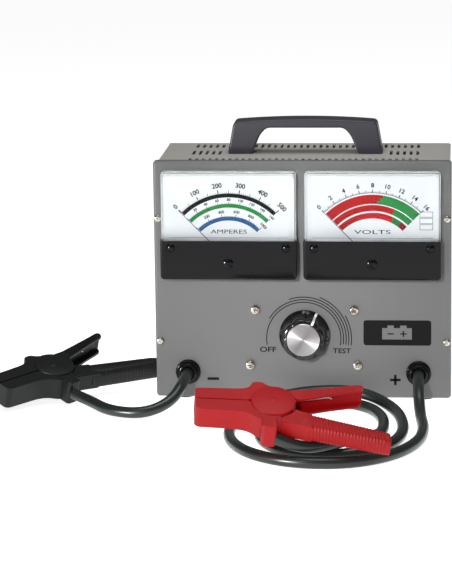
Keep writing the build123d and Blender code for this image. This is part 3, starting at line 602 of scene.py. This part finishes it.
def meter_covers(name, x):
    """A meter's window, its black lower cover and its zero adjuster; returns the cover's screws."""
    left, right = x - METER_HALF, x + METER_HALF
    depth = -METER_DEPTH
    outer = [(0.0, -0.5), (0.0, depth + 6.0), (0.4, depth + 5.2), (5.2, depth + 0.4), (6.0, depth)]
    inner = [(2.0, -0.5), (2.0, depth + 6.6), (6.8, depth + 1.9)]
    profile = inner[::-1] + outer
    window = shaped(f"{name}_window_shell", left, right, METER_SPLIT - 8.0, METER_TOP, 3.0, profile, CLEAR,
                    25.0)
    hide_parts(f"{name}_window")
    front = depth - 1.2
    outer = [(0.0, -0.5)] + arc_profile(0.0, front, 2.2)
    inner = [(1.9, -0.5), (1.9, front + 1.0)]
    cover = shaped(f"{name}_black_cover", left - 0.9, right + 0.9, METER_BOTTOM, METER_SPLIT + 3.0, 3.5,
                   inner[::-1] + outer, BLACK_GLOSS, 30.0)
    cut_out(cover, brick("top_cut", (left - 5, right + 5), (behind(front - 3), behind(2)),
                         (METER_SPLIT, METER_SPLIT + 9), BLACK_GLOSS))
    screws = (x - COVER_SCREW_X, x + COVER_SCREW_X)
    seat = front + 0.8
    for at in screws:
        cut_out(cover, turned("well", at, COVER_SCREW_Z, [(4.3, front - 1), (4.3, seat)], BLACK_GLOSS, 36))
    cut_out(cover, turned("hole", x, ZERO_Z, [(5.15, front - 1), (5.15, front + 3)], BLACK_GLOSS, 40))
    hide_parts(f"{name}_lower_cover")
    screw = turned(f"{name}_adjuster", x, ZERO_Z,
                   [(5.0, front + 2.4)] + dome_profile(5.0, front + 0.2, 1.4), BLACK_GLOSS, 40)
    cut_out(screw, brick("slot", (x - 3.0, x + 3.0), (behind(front - 3), behind(front - 0.5)),
                         (ZERO_Z - 0.5, ZERO_Z + 0.5), BLACK_GLOSS))
    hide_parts(f"{name}_zero_screw")
    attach(screw, f"{name}_adjuster")
    profile = dome_profile(3.9, seat, 2.3)
    return [turned(f"{name}_cover_screw_{number}", at, COVER_SCREW_Z, profile, BLACK_GLOSS, 40)
            for number, at in zip((1, 3), screws)]


def needle(name, x):
    """Pointer with its hub, drawn upright and then swung to the zero mark."""
    swing = Matrix.Translation((x, 0, PIVOT_Z)) @ Matrix.Rotation(radians(NEEDLE_REST), 4, "Y")
    swing = swing @ Matrix.Translation((-x, 0, -PIVOT_Z))
    tip = PIVOT_Z + NEEDLE_LENGTH
    outline = [(x - 1.0, PIVOT_Z - 11), (x + 1.0, PIVOT_Z - 11), (x + 0.4, PIVOT_Z + 18), (x + 0.17, tip),
               (x - 0.17, tip), (x - 0.4, PIVOT_Z + 18)]
    blade = slab("blade", outline, -9.1, -8.5, INK_GREY, swing, upright=True)
    hub = turned("hub", x, PIVOT_Z, [(2.6, -7.6), (2.6, -9.8), (1.9, -10.2), (0.1, -10.2)], BRASS, 24)
    near = 5.6
    coil = [slab("coil", box(x + left, x + right, PIVOT_Z - 3, PIVOT_Z + 3), near, far, COPPER, swing,
                 upright=True)
            for left, right, far in ((-10.2, -8.5, 26.4), (8.5, 10.2, 26.4), (-8.6, 8.6, 7.4))]
    staff = turned("staff", x, PIVOT_Z, [(0.8, 6.0), (0.8, -11.0)], STEEL, 16)
    whole = join(f"{name}_pointer", [blade, hub, staff] + coil)
    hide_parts(f"{name}_needle")
    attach(whole, f"{name}_movement")


DIAL_FACE = -5.4
PRINT = DIAL_FACE - 0.12


def scale_marks(x, inner, outer, steps, width):
    """Evenly spaced scale marks from one radius out to another."""
    marks = []
    spread = width / outer * 180 / pi / 2
    for step in range(steps + 1):
        angle = SCALE_LOW + (SCALE_HIGH - SCALE_LOW) * step / steps
        marks.append(ring_sector("mark", x, PIVOT_Z, inner, outer, angle - spread, angle + spread, PRINT,
                                 INK_BLACK))
    return marks


def numbers(x, radius, values, size, weight):
    """Evenly spaced scale numbers; a None leaves its place blank."""
    made = []
    for step, value in enumerate(values):
        if value is None:
            continue
        angle = SCALE_LOW + (SCALE_HIGH - SCALE_LOW) * step / (len(values) - 1)
        px, pz = around(x, PIVOT_Z, radius, angle)
        made.append(lettering("number", str(value), size, px, pz, PRINT, INK_BLACK, angle, weight))
    return made


def scale(x, inner, outer, finish, marks, radius, size, values, weight=0.12):
    """A printed band, its marks from (tip radius, spaces, width) and the numbers beyond them."""
    prints = [ring_sector("band", x, PIVOT_Z, inner, outer, SCALE_LOW, SCALE_HIGH, PRINT, finish)]
    for tip, steps, width in marks:
        prints += scale_marks(x, outer, tip, steps, width)
    return prints + numbers(x, radius, values, size, weight)


def dial_plate(name, x):
    """The white card behind the needle."""
    plate = shaped(f"{name}_dial_plate", x - 61, x + 61, METER_SPLIT - 2, METER_TOP - 5, 2.0,
                   [(0.0, -4.6), (0.0, DIAL_FACE + 0.1), (0.1, DIAL_FACE)], DIAL)
    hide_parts(f"{name}_dial")


def caption(words, x):
    """The unit under the scales, with the thin rule below it."""
    return [lettering("unit", words, 5.4, x, 166.0, PRINT, INK_BLACK, 0.0, 0.0, 34.0),
            print_quad("rule", box(x - 56, x + 56, 160.2, 160.5), PRINT, INK_GREY)]


def ammeter_scale(x):
    """The three current scales."""
    prints = scale(x, 58.9, 62.7, INK_BLACK, ((66.4, 5, 0.9), (65.2, 10, 0.6), (64.2, 50, 0.35)),
                   70.4, 6.2, (0, 100, 200, 300, 400, 500), 0.18)
    prints += scale(x, 49.3, 52.9, INK_GREEN, ((54.6, 8, 0.6), (53.8, 40, 0.3)),
                    56.6, 3.5, (None, 20, 40, 60, 80, 100, 120, 140, 160))
    prints += scale(x, 37.2, 41.0, INK_BLUE, ((43.0, 5, 0.6), (42.0, 25, 0.3)),
                    45.4, 3.8, (None, 200, 400, 600, 800, 1000))
    join("ammeter_scale", prints + caption("AMPERES", x))


def split_band(x, inner, outer, split_outer, split_inner, end):
    """A band, red and then green, whose border is stepped between two angles."""
    pieces = []
    rows = 3
    for row in range(rows):
        low = inner + (outer - inner) * row / rows
        high = inner + (outer - inner) * (row + 1) / rows
        border = split_inner + (split_outer - split_inner) * row / (rows - 1)
        pieces.append(ring_sector("band", x, PIVOT_Z, low, high, SCALE_LOW, border, PRINT, INK_RED))
        pieces.append(ring_sector("band", x, PIVOT_Z, low, high, border, end, PRINT, INK_GREEN))
    return pieces


def legend_box(low_x, high_x, low_z, high_z, line):
    """A thin rectangular frame."""
    sides = (box(low_x, high_x, low_z, low_z + line), box(low_x, high_x, high_z - line, high_z),
             box(low_x, low_x + line, low_z + line, high_z - line),
             box(high_x - line, high_x, low_z + line, high_z - line))
    return [print_quad("frame", corners, PRINT, INK_GREY) for corners in sides]


def voltmeter_scale(x):
    """The three two-colour bands, the voltage scale round them and the empty legend boxes."""
    dark_from = 36.4
    prints = split_band(x, 53.1, 61.7, 9.2, 4.2, SCALE_HIGH)
    prints += split_band(x, 46.4, 52.1, 22.9, 22.9, SCALE_HIGH)
    prints += split_band(x, 39.5, 44.8, 25.5, 25.5, dark_from)
    prints.append(ring_sector("band", x, PIVOT_Z, 39.5, 44.8, dark_from, SCALE_HIGH, PRINT, INK_DARK_RED))
    prints += scale(x, 63.3, 63.8, INK_BLACK, ((66.6, 8, 0.8), (65.8, 16, 0.5), (65.0, 80, 0.25)),
                    70.4, 5.8, (0, 2, 4, 6, 8, 10, 12, 14, 16), 0.18)
    prints += caption("VOLTS", x)
    for row in range(3):
        low = 168.0 + row * 6.0
        prints += legend_box(110.0, 122.4, low, low + 5.4, 0.45)
    join("voltmeter_scale", prints)


def meters():
    """Both meters and what is printed on their dials."""
    heads = []
    for name, x in METERS:
        heads += meter_covers(name, x)
        dial_plate(name, x)
        needle(name, x)
    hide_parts("meter_cover_screws")
    ammeter_scale(METERS[0][1])
    voltmeter_scale(METERS[1][1])


# ---------------------------------------------------------------- knob
def knob():
    """The skirted knob with eight flutes, its metal cap and the white line down its side."""
    top = -KNOB_HEIGHT
    flute = 1.9
    # radius, depth and how much of the flute's depth shows there
    stations = [(24.0, -1.4, 0), (24.0, -3.4, 0), (23.6, -4.0, 0), (21.9, -5.0, 0.15), (20.8, -7.2, 0.7),
                (20.3, -10.0, 1.0), (19.8, top + 2.2, 1.0), (19.2, top + 0.8, 0.9), (18.2, top, 0.7),
                (16.0, top - 0.1, 0.0), (15.7, top + 0.3, 0.0)]
    loops = []
    for radius, depth, lobes in stations:
        loop = []
        for angle in circle(192):
            wave = abs(cos(4 * angle)) ** 0.6
            r = radius - lobes * flute * (1 - wave)
            loop.append((r * sin(angle), behind(depth), r * cos(angle)))
        loops.append(loop)
    swing = Matrix.Translation((KNOB_X, 0, KNOB_Z)) @ Matrix.Rotation(radians(KNOB_REST), 4, "Y")
    body = loft("knob_body", loops, KNOB_BLACK, swing, 50.0)
    disc = [(15.5, top + 0.4), (15.5, top - 0.4), (15.1, top - 0.8), (0.05, top - 0.8)]
    cap = turned("knob_cap_disc", 0, 0, disc, CAP, 96, swing)
    line = [(24.05, -2.2), (24.05, -3.5), (21.7, -5.35), (20.9, -7.4), (20.55, -10.0), (20.0, top + 2.2),
            (18.6, top - 0.1), (16.1, top - 0.35)]
    half, proud = 1.1, 0.06
    stripe = []
    for a, b in zip(line, line[1:]):
        corners = [(side * half, behind(end[1]) - proud, end[0])
                   for side, end in ((-1, a), (1, a), (1, b), (-1, b))]
        stripe.append(make("stripe", corners, [(0, 1, 2, 3)], INK_WHITE, swing))
    mark = join("knob_pointer_line", stripe)
    for piece in (body, cap, mark):
        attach(piece, "knob")
    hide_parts("knob")
    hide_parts("knob_cap")


def panel_printing():
    """The arcs and words round the knob, the battery sign and the leads' signs."""
    low, middle, high = -0.05, -0.1, -0.15      # depths of three coats of ink
    x, z, half = 0.9, 62.2, 0.45
    arcs = [(35.2, -100, 100)]
    for number, (sx, sz) in enumerate(((-31.8, 81.6), (-12.6, 99.3), (15.7, 101.0), (39.7, 84.5))):
        arcs.append((37.7 + 2.5 * number, atan2(sx - x, sz - z) * 180 / pi, 98))
    prints = [ring_sector("arc", x, z, radius - half, radius + half, start, end, low, INK_BLACK)
              for radius, start, end in arcs]
    prints.append(lettering("label", "OFF", 7.0, -33.1, 51.3, low, INK_BLACK, 0.0, 0.14, 15.6))
    prints.append(lettering("label", "TEST", 6.6, 37.0, 50.4, low, INK_BLACK, 0.0, 0.14, 17.0))
    prints.append(print_quad("plate", eased(box(57.4, 121.3, 56.2, 80.5), 3.0), low, INK_BLACK))
    battery = [(75, 62), (103, 62), (103, 73), (98, 73), (98, 75.5), (92, 75.5), (92, 73), (86, 73),
               (86, 75.5), (80, 75.5), (80, 73), (75, 73)]
    prints.append(print_quad("battery", battery, middle, PANEL))
    for limits in ((80.0, 86.0, 66.8, 68.0), (92.0, 98.0, 66.8, 68.0), (94.4, 95.6, 64.4, 70.4)):
        prints.append(print_quad("sign", box(*limits), high, INK_BLACK))
    for limits in ((82.4, 92.4, 21.5, 23.9), (86.2, 88.6, 17.7, 27.7), (-91.1, -80.1, 21.4, 24.0)):
        prints.append(print_quad("sign", box(*limits), low, INK_BLACK))
    join("panel_print", prints)


def grommets():
    """The flanged bushings that the leads leave the panel through."""
    bore = CORD_RADIUS + 0.02
    profile = [(bore, 1.0), (GROMMET_RADIUS, 0.0), (GROMMET_RADIUS, -2.2), (11.2, -3.3), (10.2, -3.7),
               (9.7, -3.5), (9.5, -4.2), (9.3, -6.6), (8.6, -7.7), (7.6, -8.2), (6.4, -8.2), (5.7, -7.6),
               (bore, -6.8)]
    for name, side in (("black", -1), ("red", 1)):
        ring = turned(f"{name}_grommet_ring", side * GROMMET_X, GROMMET_Z, profile, BLACK_GLOSS, sharp=50.0)
        if side < 0:
            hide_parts("grommets")


# ---------------------------------------------------------------- battery clamps
JAW_HALF = 10.5
NOSE = -68.0
EAR_RADIUS = 19.5
RIB_PITCH = 2.8


def clamp_place(name):
    """The clamp's own axes set in the part's frame."""
    pivot, yaw, roll, pitch = CLAMPS[name]
    place = Matrix.Translation(pivot) @ Matrix.Rotation(radians(yaw), 4, "Z")
    return place @ Matrix.Rotation(radians(roll), 4, "X") @ Matrix.Rotation(radians(pitch), 4, "Y")


def drum(name, radius, low, high, finish, place, edge):
    """A disc along the clamp's pin with rounded rims."""
    loops = []
    for r, z in ((radius - edge, low), (radius - edge * 0.3, low + edge * 0.3), (radius, low + edge),
                 (radius, high - edge), (radius - edge * 0.3, high - edge * 0.3), (radius - edge, high)):
        loops.append([(r * cos(angle), r * sin(angle), z) for angle in circle(72)])
    return loft(name, loops, finish, place, 50.0)


def moulded(name, outline, low, high, finish, place, edge, cutters=()):
    """A moulded plate with rounded rims and optional cuts."""
    body = slab(name, outline, low, high, finish, place)
    for cutter in cutters:
        cut_out(body, cutter)
    return soften(body, edge, 3, 38.0)


def handle_ribs(start, count, line, reach, half, finish, place):
    """Raised ribs across the back of a handle; line(u) is the height of its back."""
    root = 1.2
    width = RIB_PITCH * 0.56
    ribs = []
    for number in range(count):
        u = start + RIB_PITCH * number
        height = line(u)
        outline = eased(box(u, u + width, height - root, height + reach), 0.5, 2)
        ribs.append(slab("rib", outline, -half, half, finish, place))
    return ribs


def ribbed_grip(name, start, end, low, high, half, ribs_from, finish, place):
    """A rounded tapering grip; low(u) and high(u) are its edges and shallow ribs ring it."""
    relief, step, tip, squareness = 0.45, 0.4, 4.0, 0.62
    loops = []
    count = int((end - start) / step)
    for number in range(count + 1):
        u = start + (end - start) * number / count
        ease = 1.0
        if u > end - tip:
            ease = max(0.0, 1 - ((u - end + tip) / tip) ** 4) ** 0.25
        lift = 0.0
        if ribs_from < u < end - tip:
            lift = relief * max(0.0, sin(2 * pi * (u - ribs_from) / RIB_PITCH)) ** 0.5
        middle, reach = (low(u) + high(u)) / 2, (high(u) - low(u)) / 2 + lift
        size_v = max(reach * (0.7 + 0.3 * ease), 0.1)
        size_w = max((half + lift) * (0.7 + 0.3 * ease), 0.1)
        loop = []
        for angle in circle(56):
            c, d = cos(angle), sin(angle)
            loop.append((u, middle + size_v * abs(c) ** squareness * (1 if c > 0 else -1),
                         size_w * abs(d) ** squareness * (1 if d > 0 else -1)))
        loops.append(loop)
    return loft(name, loops, finish, place, 60.0)


def upper_lever(name, finish, place):
    """The moving half: jaw, two ears round the pin, and a hollow grip ribbed on its back and flanks."""
    half = JAW_HALF
    jaw = eased([(NOSE, 0.7), (NOSE, 12.4), (NOSE + 1.6, 14.2), (-27, 15.4), (-20.5, 18.0), (-17.4, 24.6),
                 (-14.6, 25.8), (-8.6, 25.8), (-4.0, 21.2), (3.0, 19.2), (8, 17.5), (8, 6), (-14, 6),
                 (-21, 0.7)],
                [0.8, 1.6, 2.5, 8, 5, 2, 2, 3, 5, 4, 0, 0, 2, 2])
    clear = drum("clear", EAR_RADIUS + 0.9, -7.35, 7.35, finish, place, 0.1)
    pieces = [moulded("jaw", jaw, -half, half, finish, place, 1.5, [clear])]
    for low, high in ((7.4, 11.6), (-11.6, -7.4)):
        pieces.append(drum("ear", EAR_RADIUS, low, high, finish, place, 0.9))
    pieces.append(drum("boss", 4.2, 11.0, 12.0, finish, place, 0.4))
    grip = eased([(15.0, 8.0), (15.0, 17.6), (24, 17.4), (52, 22.6), (76.5, 28.8), (80.2, 28.4),
                  (80.6, 25.0), (78.6, 20.8), (52, 13.6), (30, 6.6), (22, 4.8)],
                 [0, 0, 8, 10, 2.5, 1.5, 2, 3, 10, 8, 0])
    hollow = eased([(12, -4), (12, 13.0), (24, 14.6), (52, 19.9), (75.0, 25.0), (86.0, 26.0), (86, -4)],
                   0.8)
    channel = slab("channel", hollow, -7.2, 7.2, finish, place)
    pieces.append(moulded("grip", grip, -half + 0.8, half - 0.8, finish, place, 1.1, [channel]))
    rise = 0.208
    pieces += handle_ribs(22.0, 19, lambda u: 17.4 + (u - 24) * rise, 0.7, half - 1.2, finish, place)
    for number in range(17):
        u = 27.0 + RIB_PITCH * number
        low, high = 8.6 + (u - 27) * 0.236, 17.0 + (u - 24) * rise
        flank = [(u, low), (u + 1.4, low + 0.3), (u + 1.4, high), (u, high - 0.3)]
        for side in (-1, 1):
            limits = sorted((side * (half - 1.6), side * (half - 0.2)))
            pieces.append(slab("flank_rib", flank, limits[0], limits[1], finish, place))
    body = join(f"{name}_upper_lever_body", pieces)
    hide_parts(f"{name}_clamp_lever_a")
    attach(body, f"{name}_upper_lever")


def lower_lever(name, finish, place):
    """The fixed half: jaw, tongues between the ears, neck, ribbed grip and the cable's block."""
    half = JAW_HALF
    jaw = eased([(NOSE, -0.7), (NOSE, -11.6), (NOSE + 3.4, -14.4), (-30, -15.3), (-20, -18.5), (-13, -25.5),
                 (-6, -27), (6, -27), (6, -6), (-14, -6), (-21, -0.7)],
                [0.8, 2.0, 2.5, 8, 6, 6, 2, 0, 0, 2, 2])
    clear = drum("clear", EAR_RADIUS + 0.35, -20, 20, finish, place, 0.1)
    pieces = [moulded("jaw", jaw, -half, half, finish, place, 1.6, [clear])]
    pieces.append(drum("tongue_top", EAR_RADIUS + 0.5, 4.3, 7.0, finish, place, 0.3))
    pieces.append(drum("tongue_low", EAR_RADIUS + 0.5, -7.0, -4.3, finish, place, 0.3))
    neck = eased([(2, -20.4), (2, -24.5), (14, -26.4), (26, -29.4), (34, -31.4), (34, -12.2), (24, -9.0),
                  (19.4, -6.6), (16, -12)], [0, 3, 8, 8, 0, 0, 6, 0, 0])
    pieces.append(moulded("neck", neck, -8.9, 8.9, finish, place, 2.6))
    grip = ribbed_grip("grip", 25.0, 101.0, lambda u: -30.0 - (u - 26) * 0.2265,
                       lambda u: -8.8 - (u - 24) * 0.3056, 9.2, 30.0, finish, place)
    groove = eased([(12, -2), (22, -15), (56, -26.5), (60, -10), (30, 4)], 1.0)
    pieces.append(cut_out(grip, slab("groove", groove, -4.6, 4.6, finish, place)))
    clip = eased([(-10.5, -22), (-10.5, -34.0), (-8.5, -36.3), (0.8, -36.3), (2.6, -34.5), (2.6, -22)], 1.2)
    pieces.append(moulded("clip", clip, -11.4, 11.9, finish, place, 1.2))
    body = join(f"{name}_lower_lever_body", pieces)
    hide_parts(f"{name}_clamp_lever_b")


def contact(name, side, place):
    """Toothed copper strip along one jaw."""
    points = [(NOSE + 1.0, side * 2.6)]
    for number in range(12):
        at = NOSE + 1.0 + number * 3.0
        points += [(at, side * 1.0), (at + 1.5, side * 0.35)]
    points += [(-31.0, side * 1.0), (-31.0, side * 2.6)]
    return slab(name, points, -6.0, 6.0, COPPER, place)


def wire(name, points, radius, finish, sides=10):
    """A round wire through points given in millimetres."""
    points = [Vector(p) for p in points]
    loops = []
    side = None
    for i, point in enumerate(points):
        ahead = (points[min(i + 1, len(points) - 1)] - points[max(i - 1, 0)]).normalized()
        if side is None:
            side = ahead.orthogonal().normalized()
        side = (side - ahead * side.dot(ahead)).normalized()
        other = ahead.cross(side)
        loops.append([point + (side * cos(angle) + other * sin(angle)) * radius for angle in circle(sides)])
    return loft(name, loops, finish)


def clamp_spring(name, place):
    """Coil and lower leg stay with the lower lever; the upper leg goes with the upper lever."""
    gauge, radius, reach, turns, steps = 0.9, 6.6, 3.2, 2.5, 20
    winding = []
    for i in range(int(turns * steps) + 1):
        angle = radians(-100) + 2 * pi * i / steps
        winding.append((radius * cos(angle), radius * sin(angle), -reach + 2 * reach * i / (turns * steps)))
    low_leg = [(50, -25.4, -reach), (30, -18.0, -reach), (8, -9.0, -reach)]
    coil = wire(f"{name}_spring_coil", [place @ Vector(p) for p in low_leg + winding], gauge, STEEL)
    leg = [(3.0, 7.4, reach), (12, 9.4, reach), (30, 12.6, reach), (50, 17.6, reach), (53, 18.6, 1.0)]
    upper = wire(f"{name}_spring_upper_leg", [place @ Vector(p) for p in leg], gauge, STEEL)
    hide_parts(f"{name}_clamp_spring")
    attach(upper, f"{name}_upper_lever")


def clamps():
    """Both battery clamps."""
    for name, finish in (("red", CLAMP_RED), ("black", CLAMP_BLACK)):
        place = clamp_place(name)
        upper_lever(name, finish, place)
        lower_lever(name, finish, place)
        clamp_spring(name, place)
        upper = contact(f"{name}_contact_upper", 1, place)
        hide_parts(f"{name}_clamp_contact_a")
        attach(upper, f"{name}_upper_lever")
        lower = contact(f"{name}_contact_lower", -1, place)
        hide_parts(f"{name}_clamp_contact_b")
        pin = drum(f"{name}_pin", 3.0, -10.2, 10.2, STEEL, place, 0.3)
        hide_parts(f"{name}_clamp_pin")


# ---------------------------------------------------------------- leads
FLOOR = CORD_RADIUS
STACKED = 3 * CORD_RADIUS + 0.6
BLACK_ROUTE = [
    (-GROMMET_X, 3.5, GROMMET_Z), (-GROMMET_X, -28.0, GROMMET_Z), (-119.0, -56.0, 14.0),
    (-144.0, -70.0, FLOOR), (-178.0, -60.0, FLOOR), (-200.0, -34.0, 8.5), (-216.5, -24.0, 12.5),
]
RED_ROUTE = [
    (GROMMET_X, 3.5, GROMMET_Z), (GROMMET_X, -30.0, GROMMET_Z), (112.0, -66.0, FLOOR),
    (117.0, -112.0, FLOOR), (113.0, -162.0, FLOOR), (93.0, -208.0, FLOOR), (54.0, -238.0, FLOOR),
    (6.0, -238.0, FLOOR), (-33.0, -212.0, FLOOR), (-55.0, -170.0, FLOOR), (-61.0, -124.0, FLOOR),
    (-53.0, -80.0, 7.0), (-31.0, -40.0, 13.0), (8.0, -17.5, STACKED), (56.0, -17.5, STACKED),
    (89.0, -50.0, 8.0), (99.0, -104.0, FLOOR), (95.0, -156.0, FLOOR), (75.0, -197.0, FLOOR),
    (34.0, -213.0, FLOOR), (-6.0, -201.0, FLOOR), (-29.0, -162.0, FLOOR), (-33.0, -116.0, FLOOR),
    (-26.0, -70.0, FLOOR), (-2.0, -29.0, FLOOR), (38.0, -16.5, FLOOR), (66.0, -38.0, FLOOR),
    (79.0, -78.0, FLOOR), (80.0, -120.0, FLOOR), (76.0, -158.0, 9.5), (60.0, -192.0, STACKED),
    (34.0, -219.0, STACKED), (9.0, -233.0, 17.0), (-12.0, -240.0, 29.0),
]


def lead(name, route):
    """A free lead: one spline shaped by the part's own corner points."""
    curve = bpy.data.curves.new(f"{name}_cable", "CURVE")
    curve.dimensions = "3D"
    curve.bevel_depth = CORD_RADIUS * MM
    curve.bevel_resolution = 8
    curve.resolution_u = 12
    curve.use_fill_caps = True
    spline = curve.splines.new("NURBS")
    spline.points.add(len(route) - 1)
    for point, (x, depth, z) in zip(spline.points, route):
        point.co = (x * MM, behind(depth) * MM, z * MM, 1.0)
    spline.order_u = 3
    spline.use_endpoint_u = True
    curve.materials.append(RUBBER)
    cable = bpy.data.objects.new(f"{name}_cable", curve)
    bpy.context.collection.objects.link(cable)
    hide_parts(f"{name}_lead")


def ride_the_case():
    """Every piece that hasn't been put on a moving body stays with the case."""
    for piece in list(bpy.data.objects):
        if piece.type in {"MESH", "CURVE"} and "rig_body" not in piece and piece.name not in frame["nodes"]:
            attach(piece, "tester")


# ---------------------------------------------------------------- stage, light and camera
def stage():
    """A white floor with a little light of its own, so that it stays white out to the horizon."""
    bpy.ops.mesh.primitive_plane_add(size=30.0, location=(0, 0, 0))
    ground = bpy.context.object
    ground.name = "studio_floor"
    white = material("floor_white", (0.92, 0.92, 0.92), 0.7, specular=0.1)
    shader = white.node_tree.nodes["Principled BSDF"]
    shader.inputs["Emission Color"].default_value = (1.0, 1.0, 1.0, 1.0)
    shader.inputs["Emission Strength"].default_value = 0.85
    ground.data.materials.append(white)


def area_light(name, place, aim, width, height, power):
    """A rectangular soft light of this many watts, turned to its aim."""
    light = bpy.data.lights.new(name, "AREA")
    light.shape = "RECTANGLE"
    light.size = width
    light.size_y = height
    light.energy = power
    lamp = bpy.data.objects.new(name, light)
    lamp.location = place
    lamp.rotation_euler = (Vector(aim) - Vector(place)).to_track_quat("-Z", "Y").to_euler()
    bpy.context.collection.objects.link(lamp)
    return lamp


def lights():
    """Dim white surroundings, two soft boxes, a strip for the knob and a spot for the panel."""
    world = bpy.data.worlds.new("studio")
    world.use_nodes = True
    world.node_tree.nodes["Background"].inputs["Color"].default_value = (1.0, 1.0, 1.0, 1.0)
    world.node_tree.nodes["Background"].inputs["Strength"].default_value = 0.10
    bpy.context.scene.world = world
    area_light("top_softbox", (0.1, -0.2, 1.8), (0, 0, 0.1), 1.4, 1.0, 17.0)
    area_light("front_left", (-0.9, -1.8, 1.3), (0, 0, 0.1), 0.5, 0.6, 3.0)
    strip = area_light("knob_strip", (-0.95, -1.2, 0.14), (0, -0.07, 0.07), 0.3, 0.12, 25.0)
    strip.visible_diffuse = False      # only the highlights on the knob and its cap need it
    spot = bpy.data.lights.new("panel_spot", "SPOT")
    spot.energy = 350.0
    spot.spot_size = radians(9.0)
    spot.spot_blend = 1.0
    spot.shadow_soft_size = 0.15
    lamp = bpy.data.objects.new("panel_spot", spot)
    lamp.location = (-0.35, -2.5, 0.9)
    lamp.rotation_euler = (Vector((0.01, -0.05, 0.11)) - lamp.location).to_track_quat("-Z", "Y").to_euler()
    lamp.visible_glossy = False        # its reflection would be a glare spot in the meter windows
    bpy.context.collection.objects.link(lamp)


def camera():
    """A long lens in front, a little to the right and above."""
    yaw, pitch, roll = radians(5.13), radians(11.71), radians(-0.75)
    forward = Vector((-sin(yaw) * cos(pitch), cos(yaw) * cos(pitch), -sin(pitch)))
    level = Vector((cos(yaw), sin(yaw), 0.0))
    rise = level.cross(forward)
    right = level * cos(roll) + rise * sin(roll)
    up = rise * cos(roll) - level * sin(roll)
    lens = bpy.data.cameras.new("camera")
    lens.sensor_width = 36.0
    lens.lens = 173.8
    lens.clip_end = 100.0
    view = bpy.data.objects.new("camera", lens)
    turn = Matrix((right, up, -forward)).transposed().to_4x4()
    view.matrix_world = Matrix.Translation((0.161, -2.6521, 0.648)) @ turn
    bpy.context.collection.objects.link(view)
    bpy.context.scene.camera = view
    bpy.context.scene.view_settings.view_transform = "Standard"


# ---------------------------------------------------------------- build
camera()
lights()
lead("black", BLACK_ROUTE)
lead("red", RED_ROUTE)
case_panel()
case_cover()
carry_handle()
feet()
case_screws()
meters()
knob()
panel_printing()
grommets()
clamps()
ride_the_case()
stage()
